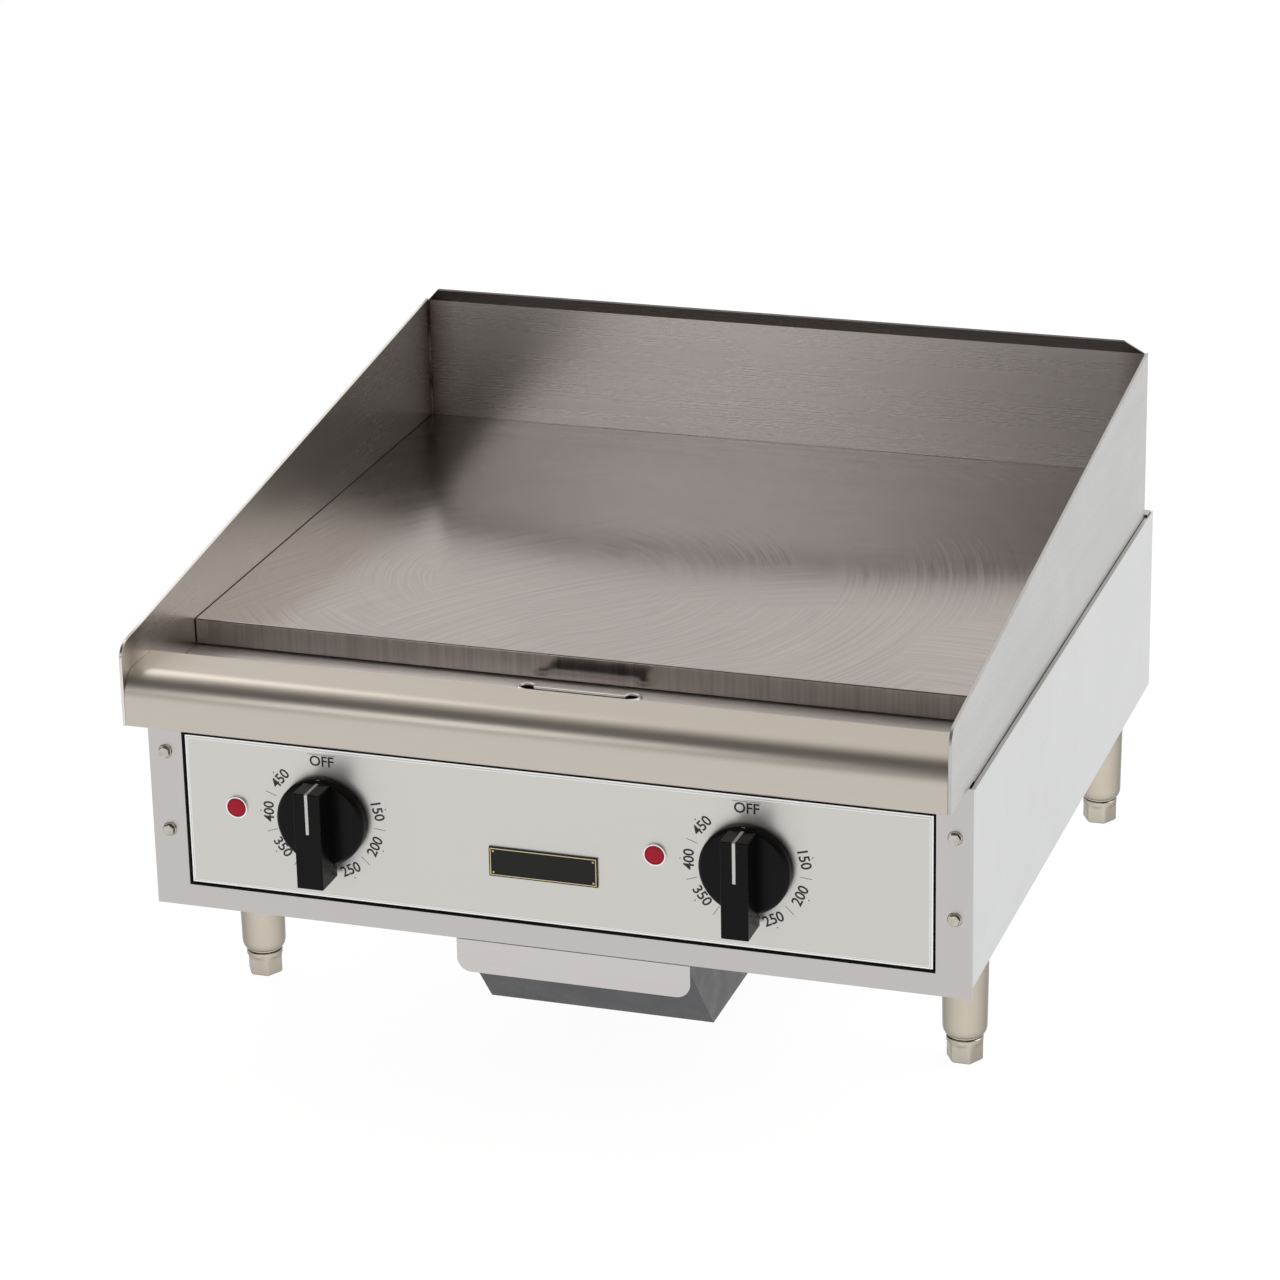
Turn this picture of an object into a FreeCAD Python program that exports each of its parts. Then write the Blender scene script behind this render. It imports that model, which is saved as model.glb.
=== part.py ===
import FreeCAD, Part
import math
import os

Vector = FreeCAD.Vector

# Electric countertop griddle, 24 inch class.
# Frame: +Z up, X across the front, -Y towards the cook. The origin is at the bottom centre of the
# overall box, on the surface the feet stand on. Millimetres.

# ---- Driving dimensions: body ----
WIDTH = 610.0             # over the side panels
DEPTH = 638.0             # front of the bullnose to the rear of the side panels
NOSE = 48.0               # the bullnose stands this far ahead of the front frame
FRAME_BOTTOM = 102.0      # underside of the front frame, on 4 inch legs
PANEL_BOTTOM = 110.0      # underside of the side panels
PANEL_TOP = 258.0         # top hem of the side panels
FRAME_TOP = 259.5
SHEET = 1.5               # 16 gauge stainless: frame, deck, trough, backsplash
THIN_SHEET = 1.2          # 18 gauge stainless: side, rear and bottom panels
BEND = 2.0                # outside radius of an ordinary sheet bend

# ---- Driving dimensions: cooking surface ----
PLATE_TOP = 294.6
PLATE_THICK = 19.0
PLATE_SETBACK = 79.0      # front edge of the plate behind the front frame
PLATE_DEPTH = 494.0
SPLASH_INSIDE = 299.0     # inner face of each side splash, from the centre
SPLASH_THICK = 2.4
SPLASH_TOP = 394.0        # where the backsplash turns forward
LIP = 13.0                # rise and reach of the forward-leaning lip
SPLASH_NOSE_TOP = 320.0   # side splash height where it rounds over the bullnose
SPLASH_NOSE_RADIUS = 13.0
DECK_TOP = 299.0
NOSE_RADIUS = 19.0
TROUGH_FLOOR = 274.3
SLOT_X = (-36.5, 41.5)    # drain slot, centres of the relief holes at its ends
SLOT_Y = (30.0, 62.0)     # from the front frame
SLOT_RELIEF = 6.2

# ---- Driving dimensions: control panel ----
OPENING_X = 279.0
OPENING_Z = (119.0, 238.5)
PANEL_GAP = 3.3
PANEL_RECESS = 0.8
KNOB_X = {"left": -171.5, "right": 144.0}
KNOB_Z = 183.0
LIGHT_OFFSET = -67.0
LIGHT_Z = 184.5
KNOB_RADIUS = 33.0
KNOB_BACK = 1.5           # gap from the front frame's face to the knob skirt
KNOB_SKIRT = 8.0
KNOB_GRIP = 21.5
GRIP_WIDTH = 20.0
GRIP_TOP = 31.4
GRIP_BOTTOM = -42.0
SHAFT_RADIUS = 3.15
SHAFT_FIT = 0.05          # running clearance on the radius

# ---- Driving dimensions: legs and drawer ----
LEG_X = 272.6
LEG_SETBACK = {"front": 112.0, "rear": 562.0}
LEG_TOP_RADIUS = 17.8
LEG_WAIST_RADIUS = 16.4
LEG_COLLAR_RADIUS = 13.2
FOOT_RADIUS = 13.5
FOOT_HEX = 25.4
FOOT_HEIGHT = 19.0
STEM_RADIUS = 6.0
DRAWER_X = 13.5
DRAWER_HALF = 85.0
DRAWER_LENGTH = 330.0
DRAWER_BOTTOM = 28.0
DRAWER_TOP = 100.0
DRAWER_FRONT_HALF = 87.3
DRAWER_FRONT_BOTTOM = 76.0

# ---- Driving dimensions: heating and wiring ----
ELEMENT_RADIUS = 4.2
ELEMENT_PITCH = 46.0
ELEMENT_PASSES = 6
ELEMENT_START = {"left": -265.0, "right": 35.0}
CLAMP_ROWS = (200.0, 330.0, 460.0)
BULB_X = {"left": -150.0, "right": 150.0}
WIRE_RADIUS = 1.8
CONDUIT_X, CONDUIT_Z, CONDUIT_RADIUS = 210.0, 150.0, 14.3

# ---- Worked-out positions ----
FACE = -DEPTH / 2 + NOSE  # front face of the front frame
REAR = DEPTH / 2
PLATE_BOTTOM = PLATE_TOP - PLATE_THICK
PLATE_REAR = PLATE_SETBACK + PLATE_DEPTH
SIDE_OUT = WIDTH / 2
SIDE_IN = SIDE_OUT - THIN_SHEET
SPLASH_OUT = SPLASH_INSIDE + SPLASH_THICK
PAN_BOTTOM = PANEL_BOTTOM + THIN_SHEET
PAN_TOP = PAN_BOTTOM + THIN_SHEET
ELEMENT_Z = PLATE_BOTTOM - ELEMENT_RADIUS - 0.2
CLAMP_TOP = ELEMENT_Z - ELEMENT_RADIUS
CLAMP_THICK = 3.0

nodes = {}


# ---- Shape helpers. A y argument is a setback behind the front frame's face. ----
def box(x0, x1, y0, y1, z0, z1):
    return Part.makeBox(x1 - x0, y1 - y0, z1 - z0, Vector(x0, FACE + y0, z0))


def rod(radius, x, y, z, length, direction):
    return Part.makeCylinder(radius, length, Vector(x, FACE + y, z), direction)


def hexagon(across_flats, x, y, z, length, direction):
    radius = across_flats / math.sqrt(3)
    points = []
    for corner in range(7):
        angle = math.radians(60 * corner)
        a, b = radius * math.cos(angle), radius * math.sin(angle)
        flat = Vector(a, 0, b) if direction.y else Vector(a, b, 0)
        points.append(Vector(x, FACE + y, z) + flat)
    return Part.Face(Part.makePolygon(points)).extrude(direction * length)


BACKWARD = Vector(0, 1, 0)
UPWARD = Vector(0, 0, 1)


def joined(shapes):
    whole = shapes[0].multiFuse(shapes[1:]) if len(shapes) > 1 else shapes[0]
    return whole.removeSplitter()


def round_corners(points, radii):
    """Edges of an open path with a tangent arc at each inner point."""
    edges = []
    start = points[0]
    for before, corner, after, radius in zip(points, points[1:], points[2:], radii):
        back, ahead = (before - corner), (after - corner)
        back.normalize()
        ahead.normalize()
        half = back.getAngle(ahead) / 2
        reach = radius / math.tan(half)
        middle = back + ahead
        middle.normalize()
        bulge = corner + middle * (radius / math.sin(half) - radius)
        begin, end = corner + back * reach, corner + ahead * reach
        if (begin - start).Length > 1e-6:
            edges.append(Part.LineSegment(start, begin).toShape())
        edges.append(Part.Arc(begin, bulge, end).toShape())
        start = end
    edges.append(Part.LineSegment(start, points[-1]).toShape())
    return edges


def inner_path(points, thickness):
    """The path moved to its left by the sheet's thickness, with mitred corners."""
    normals = []
    for a, b in zip(points, points[1:]):
        run = (b[0] - a[0], b[1] - a[1])
        size = math.hypot(*run)
        normals.append((-run[1] / size, run[0] / size))
    moved = [(points[0][0] + normals[0][0] * thickness, points[0][1] + normals[0][1] * thickness)]
    for point, first, second in zip(points[1:], normals, normals[1:]):
        scale = thickness / (1 + first[0] * second[0] + first[1] * second[1])
        moved.append((point[0] + (first[0] + second[0]) * scale, point[1] + (first[1] + second[1]) * scale))
    end, last = points[-1], normals[-1]
    moved.append((end[0] + last[0] * thickness, end[1] + last[1] * thickness))
    return moved


def bent_sheet(points, radii, thickness, low, high, along="x"):
    """A folded sheet: a section path in (y, z), or in (x, z) along y, swept from low to high.
    The metal lies to the left of the path, and radii are those of the path's corners."""
    def place(a, b):
        return Vector(low, FACE + a, b) if along == "x" else Vector(a, FACE + low, b)

    inside = inner_path(points, thickness)
    inside_radii = []
    for a, b, c, radius in zip(points, points[1:], points[2:], radii):
        left_turn = (b[0] - a[0]) * (c[1] - b[1]) - (b[1] - a[1]) * (c[0] - b[0]) > 0
        inside_radii.append(radius - thickness if left_turn else radius + thickness)
    outer = round_corners([place(*p) for p in points], radii)
    inner = round_corners([place(*p) for p in inside], inside_radii)
    ends = [Part.LineSegment(place(*points[k]), place(*inside[k])).toShape() for k in (0, -1)]
    wire = Part.Wire(Part.__sortEdges__(outer + inner + ends))
    sweep = Vector(high - low, 0, 0) if along == "x" else Vector(0, high - low, 0)
    return Part.Face(wire).extrude(sweep)


def pipe(points, bend, radius):
    """A round wire or tube along straight runs joined by tangent arcs."""
    places = [Vector(x, FACE + y, z) for x, y, z in points]
    spine = Part.Wire(round_corners(places, [bend] * (len(places) - 2)))
    direction = places[1] - places[0]
    profile = Part.Wire(Part.makeCircle(radius, places[0], direction))
    return spine.makePipeShell([profile], True, False)


def mirrored(shape):
    return shape.mirror(Vector(0, 0, 0), Vector(1, 0, 0))


# ---- Cooking surface ----
def griddle_plate():
    half = SPLASH_INSIDE - 0.6
    plate = box(-half, half, PLATE_SETBACK, PLATE_REAR - 0.3, PLATE_BOTTOM, PLATE_TOP)
    front_edges = [e for e in plate.Edges if abs(e.CenterOfMass.y - (FACE + PLATE_SETBACK)) < 0.1
                   and abs(e.CenterOfMass.z - PLATE_TOP) < 0.1]
    return plate.makeChamfer(0.8, front_edges)


def splash_right():
    """Welded side splash: a straight taper, rounded down over the bullnose, tail behind the panel."""
    front, rear, tail = -NOSE, PLATE_REAR + SHEET, PANEL_TOP - 18
    path = [(front, FRAME_TOP), (front, SPLASH_NOSE_TOP), (rear, SPLASH_TOP)]
    places = [Vector(SPLASH_INSIDE, FACE + y, z) for y, z in path]
    edges = round_corners(places, [SPLASH_NOSE_RADIUS])
    closing = [path[-1], (rear, tail), (16, tail), (16, FRAME_TOP), path[0]]
    corners = [Vector(SPLASH_INSIDE, FACE + y, z) for y, z in closing]
    edges += [Part.LineSegment(a, b).toShape() for a, b in zip(corners, corners[1:])]
    return Part.Face(Part.Wire(edges)).extrude(Vector(SPLASH_THICK, 0, 0))


def backsplash():
    """Rear splash with a lip that leans forward, its ends mitred back."""
    half = SPLASH_INSIDE - 0.1
    rear = PLATE_REAR + SHEET
    path = [(rear, PANEL_TOP - 18), (rear, SPLASH_TOP), (rear - LIP, SPLASH_TOP + LIP)]
    sheet = bent_sheet(path, [BEND], SHEET, -half, half)
    for side in (-1, 1):
        crease = Vector(side * half, FACE + rear, SPLASH_TOP - 1)
        corners = [crease, crease + Vector(-side * LIP * 1.2, 0, LIP * 1.2), crease + Vector(0, 0, LIP * 1.2)]
        wedge = Part.Face(Part.makePolygon(corners + corners[:1])).extrude(Vector(0, -2 * LIP, 0))
        wedge.translate(Vector(0, LIP / 2, 0))
        sheet = sheet.cut(wedge)
    return sheet


def bullnose():
    """Front deck: flat landing, quarter-round nose, vertical face and a flange onto the frame."""
    path = [(SHEET, DECK_TOP), (-NOSE, DECK_TOP), (-NOSE, FRAME_TOP), (18, FRAME_TOP)]
    half = SPLASH_INSIDE - 0.05
    return bent_sheet(path, [NOSE_RADIUS, BEND], SHEET, -half, half)


def slot_cut(z0, z1):
    """The drain slot: a rectangle with a round relief at each rear corner."""
    cut = [box(SLOT_X[0], SLOT_X[1], SLOT_Y[0], SLOT_Y[1], z0, z1)]
    cut += [rod(SLOT_RELIEF, x, SLOT_Y[1], z0, z1 - z0, UPWARD) for x in SLOT_X]
    return joined(cut)


def grease_trough():
    """Gutter between the deck and the plate: front wall and a floor that runs under the plate."""
    under = TROUGH_FLOOR - SHEET
    path = [(0, DECK_TOP - SHEET), (0, under), (PLATE_SETBACK + 20, under)]
    half = SPLASH_INSIDE - 0.2
    return bent_sheet(path, [BEND], SHEET, -half, half).cut(slot_cut(under - 5, TROUGH_FLOOR + 5))


def drain_chute():
    """Four-sided chute from the slot down to the drawer."""
    wall, top, bottom = THIN_SHEET, TROUGH_FLOOR - SHEET, FRAME_BOTTOM + 1
    outside = box(SLOT_X[0] - wall, SLOT_X[1] + wall, SLOT_Y[0] - wall, SLOT_Y[1] + wall, bottom, top)
    inside = box(SLOT_X[0], SLOT_X[1], SLOT_Y[0], SLOT_Y[1], bottom - 1, top + 1)
    return outside.cut(inside)


def plate_rails():
    angle = [(SPLASH_INSIDE - 20, PLATE_BOTTOM - 1.6), (SPLASH_INSIDE - 0.2, PLATE_BOTTOM - 1.6)]
    shelf = box(angle[0][0], angle[1][0], 105, PLATE_REAR - 3, angle[0][1], PLATE_BOTTOM - 0.1)
    web = box(SPLASH_INSIDE - 1.7, SPLASH_INSIDE - 0.2, 105, PLATE_REAR - 3, 245, angle[0][1])
    rail = joined([shelf, web])
    return Part.makeCompound([rail, mirrored(rail)])


# ---- Body ----
def frame_screw_places():
    return [(side * 292.3, z) for side in (-1, 1) for z in (161.3, 222.2)]


def front_frame():
    """Front picture frame with a flanged opening and return flanges top, bottom and sides."""
    low, high = OPENING_Z
    face = box(-SIDE_OUT, SIDE_OUT, 0, SHEET, FRAME_BOTTOM, FRAME_TOP)
    rim = box(-OPENING_X - SHEET, OPENING_X + SHEET, 0, 8, low - SHEET, high + SHEET)
    top = box(-SPLASH_INSIDE, SPLASH_INSIDE, SHEET, 15, FRAME_TOP - SHEET, FRAME_TOP)
    bottom = box(-SIDE_OUT + 5, SIDE_OUT - 5, SHEET, 20, FRAME_BOTTOM, FRAME_BOTTOM + SHEET)
    shapes = [face, rim, top, bottom]
    for side in (-1, 1):
        x0, x1 = sorted((side * (SIDE_IN - SHEET), side * SIDE_IN))
        shapes.append(box(x0, x1, SHEET, 25, PAN_TOP + 0.3, PANEL_TOP - 1.7))
    frame = joined(shapes).cut(box(-OPENING_X, OPENING_X, -1, 9, low, high))
    for x, z in frame_screw_places():
        frame = frame.cut(rod(2.2, x, -1, z, 5, BACKWARD))
    return frame


def front_brackets():
    """Angle behind each end of the frame, which the frame screws bite into."""
    low, high = 120.0, 238.0
    face = box(282, 302, SHEET, 2 * SHEET, low, high)
    web = box(302 - SHEET, 302, 2 * SHEET, 30, low, high)
    angle = joined([face, web])
    pair = [angle, mirrored(angle)]
    for x, z in frame_screw_places():
        pair = [bracket.cut(rod(2.2, x, 0, z, 6, BACKWARD)) for bracket in pair]
    return Part.makeCompound(pair)


def screw(x, y, z, across_flats, head, washer, length):
    """Hex washer-head screw whose washer seats at y, its shank running backward."""
    parts = [rod(across_flats * 0.68, x, y - washer, z, washer, BACKWARD),
             hexagon(across_flats, x, y - washer - head, z, head, BACKWARD),
             rod(2.1, x, y, z, length, BACKWARD)]
    return joined(parts)


def frame_screws():
    return Part.makeCompound([screw(x, 0, z, 8, 2.6, 0.9, 9) for x, z in frame_screw_places()])


def side_panel():
    """Outer side skin: a top hem, a bottom flange and an open front and rear."""
    rear = REAR - FACE
    skin = box(SIDE_IN, SIDE_OUT, SHEET, rear, PANEL_BOTTOM, PANEL_TOP)
    hem = box(SPLASH_OUT + 0.4, SIDE_IN, SHEET, rear - 5, PANEL_TOP - SHEET, PANEL_TOP)
    flange = box(LEG_X + LEG_TOP_RADIUS + 0.6, SIDE_IN, SHEET, rear - 5, PANEL_BOTTOM, PAN_BOTTOM)
    return joined([skin, hem, flange])


def rear_screw_places():
    return [(x, z) for x in (-290, 0, 290) for z in (130, 240)]


def rear_panel():
    """Rear cover with a conduit knockout and a top flange that meets the backsplash."""
    face = REAR - FACE - 2
    path = [(face, PAN_BOTTOM + 0.3), (face, PANEL_TOP + 1.8), (PLATE_REAR + SHEET + 0.5, PANEL_TOP + 1.8)]
    panel = bent_sheet(path, [BEND], THIN_SHEET, -SIDE_IN + 0.2, SIDE_IN - 0.2)
    panel = panel.cut(rod(CONDUIT_RADIUS, CONDUIT_X, face - 5, CONDUIT_Z, 10, BACKWARD))
    for x, z in rear_screw_places():
        panel = panel.cut(rod(2.2, x, face - 5, z, 10, BACKWARD))
    return panel


def rear_screws():
    face = REAR - FACE - 2
    heads = []
    for x, z in rear_screw_places():
        head = rod(4.0, x, face, z, 1.8, BACKWARD)
        heads.append(joined([head, rod(2.1, x, face - 8, z, 8, BACKWARD)]))
    return Part.makeCompound(heads)


def bottom_pan():
    """Floor of the body, with holes for the chute and for the leg studs."""
    pan = box(-SIDE_IN + 0.2, SIDE_IN - 0.2, 2, REAR - FACE - 3.5, PAN_BOTTOM, PAN_TOP)
    pan = pan.cut(box(SLOT_X[0] - 3, SLOT_X[1] + 3, SLOT_Y[0] - 3, SLOT_Y[1] + 3, 100, 120))
    for _, x, y in leg_places():
        pan = pan.cut(rod(6.8, x, y, 100, 20, UPWARD))
    return pan


# ---- Legs ----
def leg_places():
    places = []
    for end, y in LEG_SETBACK.items():
        places += [(f"{end}_left", -LEG_X, y), (f"{end}_right", LEG_X, y)]
    return places


def leg_gussets():
    """Threaded plate inside the floor above each leg."""
    plates = []
    for _, x, y in leg_places():
        offset = 8 if x > 0 else -8
        plate = box(x - offset - 28, x - offset + 28, y - 22, y + 22, PAN_TOP, PAN_TOP + 4)
        plates.append(plate.cut(rod(6.5, x, y, 100, 30, UPWARD)))
    return Part.makeCompound(plates)


def leg(x, y):
    """Plated tapered leg with a rounded shoulder, a threaded stud on top and a blind bore below."""
    bottom, top = FOOT_HEIGHT + 0.3, PAN_BOTTOM
    shoulder = bottom + 9
    profile = [(STEM_RADIUS + SHAFT_FIT, bottom), (LEG_COLLAR_RADIUS, bottom), (LEG_COLLAR_RADIUS + 0.2, bottom + 1.2)]
    after = [(LEG_WAIST_RADIUS, shoulder), (LEG_TOP_RADIUS, top), (6.4, top), (6.4, top + 10), (0, top + 10),
             (0, 65), (STEM_RADIUS + SHAFT_FIT, 65), profile[0]]
    place = [Vector(x + r, FACE + y, z) for r, z in profile]
    rest = [Vector(x + r, FACE + y, z) for r, z in after]
    middle = Vector(x + LEG_COLLAR_RADIUS + 2.4, FACE + y, bottom + 4.6)
    edges = [Part.LineSegment(a, b).toShape() for a, b in zip(place, place[1:])]
    edges.append(Part.Arc(place[-1], middle, rest[0]).toShape())
    edges += [Part.LineSegment(a, b).toShape() for a, b in zip(rest, rest[1:])]
    return Part.Face(Part.Wire(edges)).revolve(Vector(x, FACE + y, 0), UPWARD, 360)


def foot(x, y):
    """Levelling foot: round collar above a hexagon for the wrench, with a threaded stem."""
    body = rod(FOOT_RADIUS, x, y, 0, FOOT_HEIGHT, UPWARD)
    hexed = hexagon(FOOT_HEX, x, y, -1, 12.5, UPWARD)
    collar = rod(FOOT_RADIUS, x, y, 11.5, FOOT_HEIGHT - 11.5, UPWARD)
    pad = Part.makeCone(FOOT_RADIUS - 1.2, FOOT_RADIUS + 6.3, 7.5, Vector(x, FACE + y, 0))
    lower = body.common(joined([hexed, collar])).common(joined([pad, rod(30, x, y, 3, 30, UPWARD)]))
    stem = rod(STEM_RADIUS, x, y, FOOT_HEIGHT, 40, UPWARD)
    return joined([lower, stem])


# ---- Grease drawer ----
def drawer_pan():
    """Deep pan with a front that slopes back, hung by a flange along each side."""
    wall = THIN_SHEET
    x0, x1 = DRAWER_X - DRAWER_HALF, DRAWER_X + DRAWER_HALF
    slope = DRAWER_TOP - DRAWER_BOTTOM
    toe = 2 + slope * 0.84

    def wedge(grow, top):
        low = DRAWER_BOTTOM + grow
        lean = grow * 1.3
        outline = [(2 + lean, top), (toe + lean - grow * 0.84, low), (DRAWER_LENGTH - grow, low),
                   (DRAWER_LENGTH - grow, top)]
        points = [Vector(x0 + grow, FACE + y, z) for y, z in outline + outline[:1]]
        return Part.Face(Part.makePolygon(points)).extrude(Vector(x1 - x0 - 2 * grow, 0, 0))

    inner = wedge(wall, DRAWER_TOP)
    mouth = box(x0 + wall, x1 - wall, 2 + wall * 1.3, DRAWER_LENGTH - wall, DRAWER_TOP - 0.01, DRAWER_TOP + 5)
    pan = wedge(0, DRAWER_TOP).cut(inner).cut(mouth)
    lips = [box(x0 - 8, x0, 20, DRAWER_LENGTH, DRAWER_TOP - wall, DRAWER_TOP),
            box(x1, x1 + 8, 20, DRAWER_LENGTH, DRAWER_TOP - wall, DRAWER_TOP)]
    return joined([pan] + lips)


def drawer_front():
    """Bright front plate, with the two bottom corners rounded, that serves as the pull."""
    x0, x1 = DRAWER_X - DRAWER_FRONT_HALF, DRAWER_X + DRAWER_FRONT_HALF
    plate = box(x0, x1, 0.3, 1.8, DRAWER_FRONT_BOTTOM, FRAME_BOTTOM - 0.6)
    corners = [e for e in plate.Edges if abs(e.CenterOfMass.z - DRAWER_FRONT_BOTTOM) < 0.1
               and abs(e.CenterOfMass.x - DRAWER_X) > DRAWER_FRONT_HALF - 0.1]
    return plate.makeFillet(10.5, corners)


def drawer_rails():
    """Hanger under the floor on each side, with a shelf below the pan's flange."""
    rails = []
    for side in (-1, 1):
        inner = DRAWER_HALF + 2.5
        web = DRAWER_HALF + 8.8
        low = DRAWER_TOP - THIN_SHEET - 0.4 - THIN_SHEET
        pieces = [(inner, web, low, low + THIN_SHEET), (web, web + THIN_SHEET, low, PAN_BOTTOM),
                  (web + THIN_SHEET, web + 13, PAN_BOTTOM - THIN_SHEET, PAN_BOTTOM)]
        shapes = []
        for a, b, z0, z1 in pieces:
            x0, x1 = sorted((DRAWER_X + side * a, DRAWER_X + side * b))
            shapes.append(box(x0, x1, 28, DRAWER_LENGTH + 20, z0, z1))
        rails.append(joined(shapes))
    return Part.makeCompound(rails)


# ---- Controls ----
def control_panel():
    """Satin fascia with a return flange, drilled for the shafts, lamps and thermostat screws."""
    x = OPENING_X - PANEL_GAP
    low, high = OPENING_Z[0] + PANEL_GAP, OPENING_Z[1] - PANEL_GAP
    tray = box(-x, x, PANEL_RECESS, 12, low, high)
    back = PANEL_RECESS + SHEET
    panel = tray.cut(box(-x + SHEET, x - SHEET, back, 13, low + SHEET, high - SHEET))
    for side, knob_x in KNOB_X.items():
        panel = panel.cut(rod(5.2, knob_x, -2, KNOB_Z, 8, BACKWARD))
        panel = panel.cut(rod(6.2, knob_x + LIGHT_OFFSET, -2, LIGHT_Z, 8, BACKWARD))
        for shift in (-14, 14):
            panel = panel.cut(rod(2.1, knob_x + shift, -2, KNOB_Z, 8, BACKWARD))
    return panel


def panel_clips():
    """Spring clips in the gap behind the fascia's face, which centre it in the opening."""
    clips = []
    low, high = OPENING_Z
    for x in (-180, 0, 180):
        clips.append(box(x - 8, x + 8, 6, 8, low, low + PANEL_GAP))
        clips.append(box(x - 8, x + 8, 6, 8, high - PANEL_GAP, high))
    return Part.makeCompound(clips)


def thermostat(x):
    body = box(x - 25, x + 25, PANEL_RECESS + SHEET, 44, KNOB_Z - 26, KNOB_Z + 24)
    boss = rod(5.0, x, PANEL_RECESS, KNOB_Z, SHEET, BACKWARD)
    whole = joined([body, boss]).cut(rod(SHAFT_RADIUS + SHAFT_FIT, x, -1, KNOB_Z, 31, BACKWARD))
    for shift in (-14, 14):
        whole = whole.cut(rod(2.0, x + shift, 0, KNOB_Z, 12, BACKWARD))
    return whole


def thermostat_screws():
    screws = []
    for x in KNOB_X.values():
        for shift in (-14, 14):
            head = rod(3.4, x + shift, PANEL_RECESS - 1.5, KNOB_Z, 1.5, BACKWARD)
            screws.append(joined([head, rod(1.9, x + shift, PANEL_RECESS, KNOB_Z, 10, BACKWARD)]))
    return Part.makeCompound(screws)


def d_section(radius, x, y0, y1):
    """A round bar with a flat along its top."""
    bar = rod(radius, x, y0, KNOB_Z, y1 - y0, BACKWARD)
    return bar.cut(box(x - 5, x + 5, y0 - 1, y1 + 1, KNOB_Z + radius * 0.6, KNOB_Z + 5))


def thermostat_shaft(x):
    tip = d_section(SHAFT_RADIUS, x, -24, -1)
    return joined([tip, rod(SHAFT_RADIUS, x, -1, KNOB_Z, 29, BACKWARD)])


def knob(x):
    """Phenolic knob: round skirt with a bevelled rim, and a bar grip that runs past it at the foot."""
    front = -KNOB_BACK - KNOB_SKIRT
    skirt = rod(KNOB_RADIUS, x, front, KNOB_Z, KNOB_SKIRT, BACKWARD)
    rim = [e for e in skirt.Edges if abs(e.CenterOfMass.y - (FACE + front)) < 0.1 and len(e.Vertexes) == 1]
    skirt = skirt.makeChamfer(2.2, rim)
    half = GRIP_WIDTH / 2
    grip = box(x - half, x + half, front - KNOB_GRIP, front + 0.5, KNOB_Z + GRIP_BOTTOM, KNOB_Z + GRIP_TOP)
    edges = [e for e in grip.Edges if abs(e.CenterOfMass.y - (FACE + front - KNOB_GRIP)) < 0.1]
    grip = grip.makeChamfer(0.6, edges)
    tail = box(x - half, x + half, front, -KNOB_BACK - 1.5, KNOB_Z + GRIP_BOTTOM, KNOB_Z - 20)
    body = joined([skirt, grip, tail])
    return body.cut(d_section(SHAFT_RADIUS + SHAFT_FIT, x, -24.3, 0))


def pilot_bezel(x):
    ring = rod(8.3, x, PANEL_RECESS - 2.4, LIGHT_Z, 2.4, BACKWARD)
    return ring.cut(rod(7.1, x, -5, LIGHT_Z, 10, BACKWARD))


def pilot_lens(x):
    return rod(7.0, x, PANEL_RECESS - 1.8, LIGHT_Z, 1.8, BACKWARD)


def pilot_body(x):
    return joined([rod(6.0, x, PANEL_RECESS, LIGHT_Z, 22, BACKWARD), rod(8, x, 6, LIGHT_Z, 3, BACKWARD)])


def name_plate():
    """Blank plate with a raised border on the fascia."""
    x0, x1, z0, z1 = -46.5, 34.5, 154.0, 176.5
    plate = box(x0, x1, PANEL_RECESS - 1.4, PANEL_RECESS, z0, z1)
    field = box(x0 + 1.6, x1 - 1.6, PANEL_RECESS - 2, PANEL_RECESS - 1.0, z0 + 1.6, z1 - 1.6)
    return plate.cut(field)


# ---- Heating ----
def element_columns(side):
    return [ELEMENT_START[side] + ELEMENT_PITCH * k for k in range(ELEMENT_PASSES)]


def heating_element(side):
    """Sheathed tube bent to and fro under its half of the plate, both ends at the front."""
    near, far, tip = 135.0, 540.0, 108.0
    bend = ELEMENT_PITCH / 2
    points = []
    for k, x in enumerate(element_columns(side)):
        ends = (near, far) if k % 2 == 0 else (far, near)
        points += [(x, y, ELEMENT_Z) for y in ends]
    points[0] = (points[0][0], tip, ELEMENT_Z)
    points[-1] = (points[-1][0], tip, ELEMENT_Z)
    return pipe(points, bend - 0.05, ELEMENT_RADIUS)


def clamp_columns(side):
    columns = element_columns(side)
    return [(columns[0] + columns[1]) / 2, (columns[-2] + columns[-1]) / 2]


def clamp_bars():
    bars = []
    for side in KNOB_X:
        columns = element_columns(side)
        for y in CLAMP_ROWS:
            bar = box(columns[0] - 8, columns[-1] + 8, y - 8, y + 8, CLAMP_TOP - CLAMP_THICK, CLAMP_TOP)
            for x in clamp_columns(side):
                bar = bar.cut(rod(3.3, x, y, CLAMP_TOP - 10, 20, UPWARD))
            bars.append(bar)
    return Part.makeCompound(bars)


def clamp_studs():
    bottom = CLAMP_TOP - CLAMP_THICK - 6.5
    return Part.makeCompound([rod(3.0, x, y, bottom, PLATE_BOTTOM - bottom, UPWARD)
                              for side in KNOB_X for y in CLAMP_ROWS for x in clamp_columns(side)])


def clamp_nuts():
    top = CLAMP_TOP - CLAMP_THICK
    nuts = []
    for side in KNOB_X:
        for y in CLAMP_ROWS:
            for x in clamp_columns(side):
                nut = hexagon(10, x, y, top - 5.2, 5.2, UPWARD)
                nuts.append(nut.cut(rod(3.05, x, y, top - 8, 10, UPWARD)))
    return Part.makeCompound(nuts)


def insulation_blanket():
    return box(-289, 289, 120, PLATE_REAR - 4, 228.2, CLAMP_TOP - CLAMP_THICK - 7)


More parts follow.
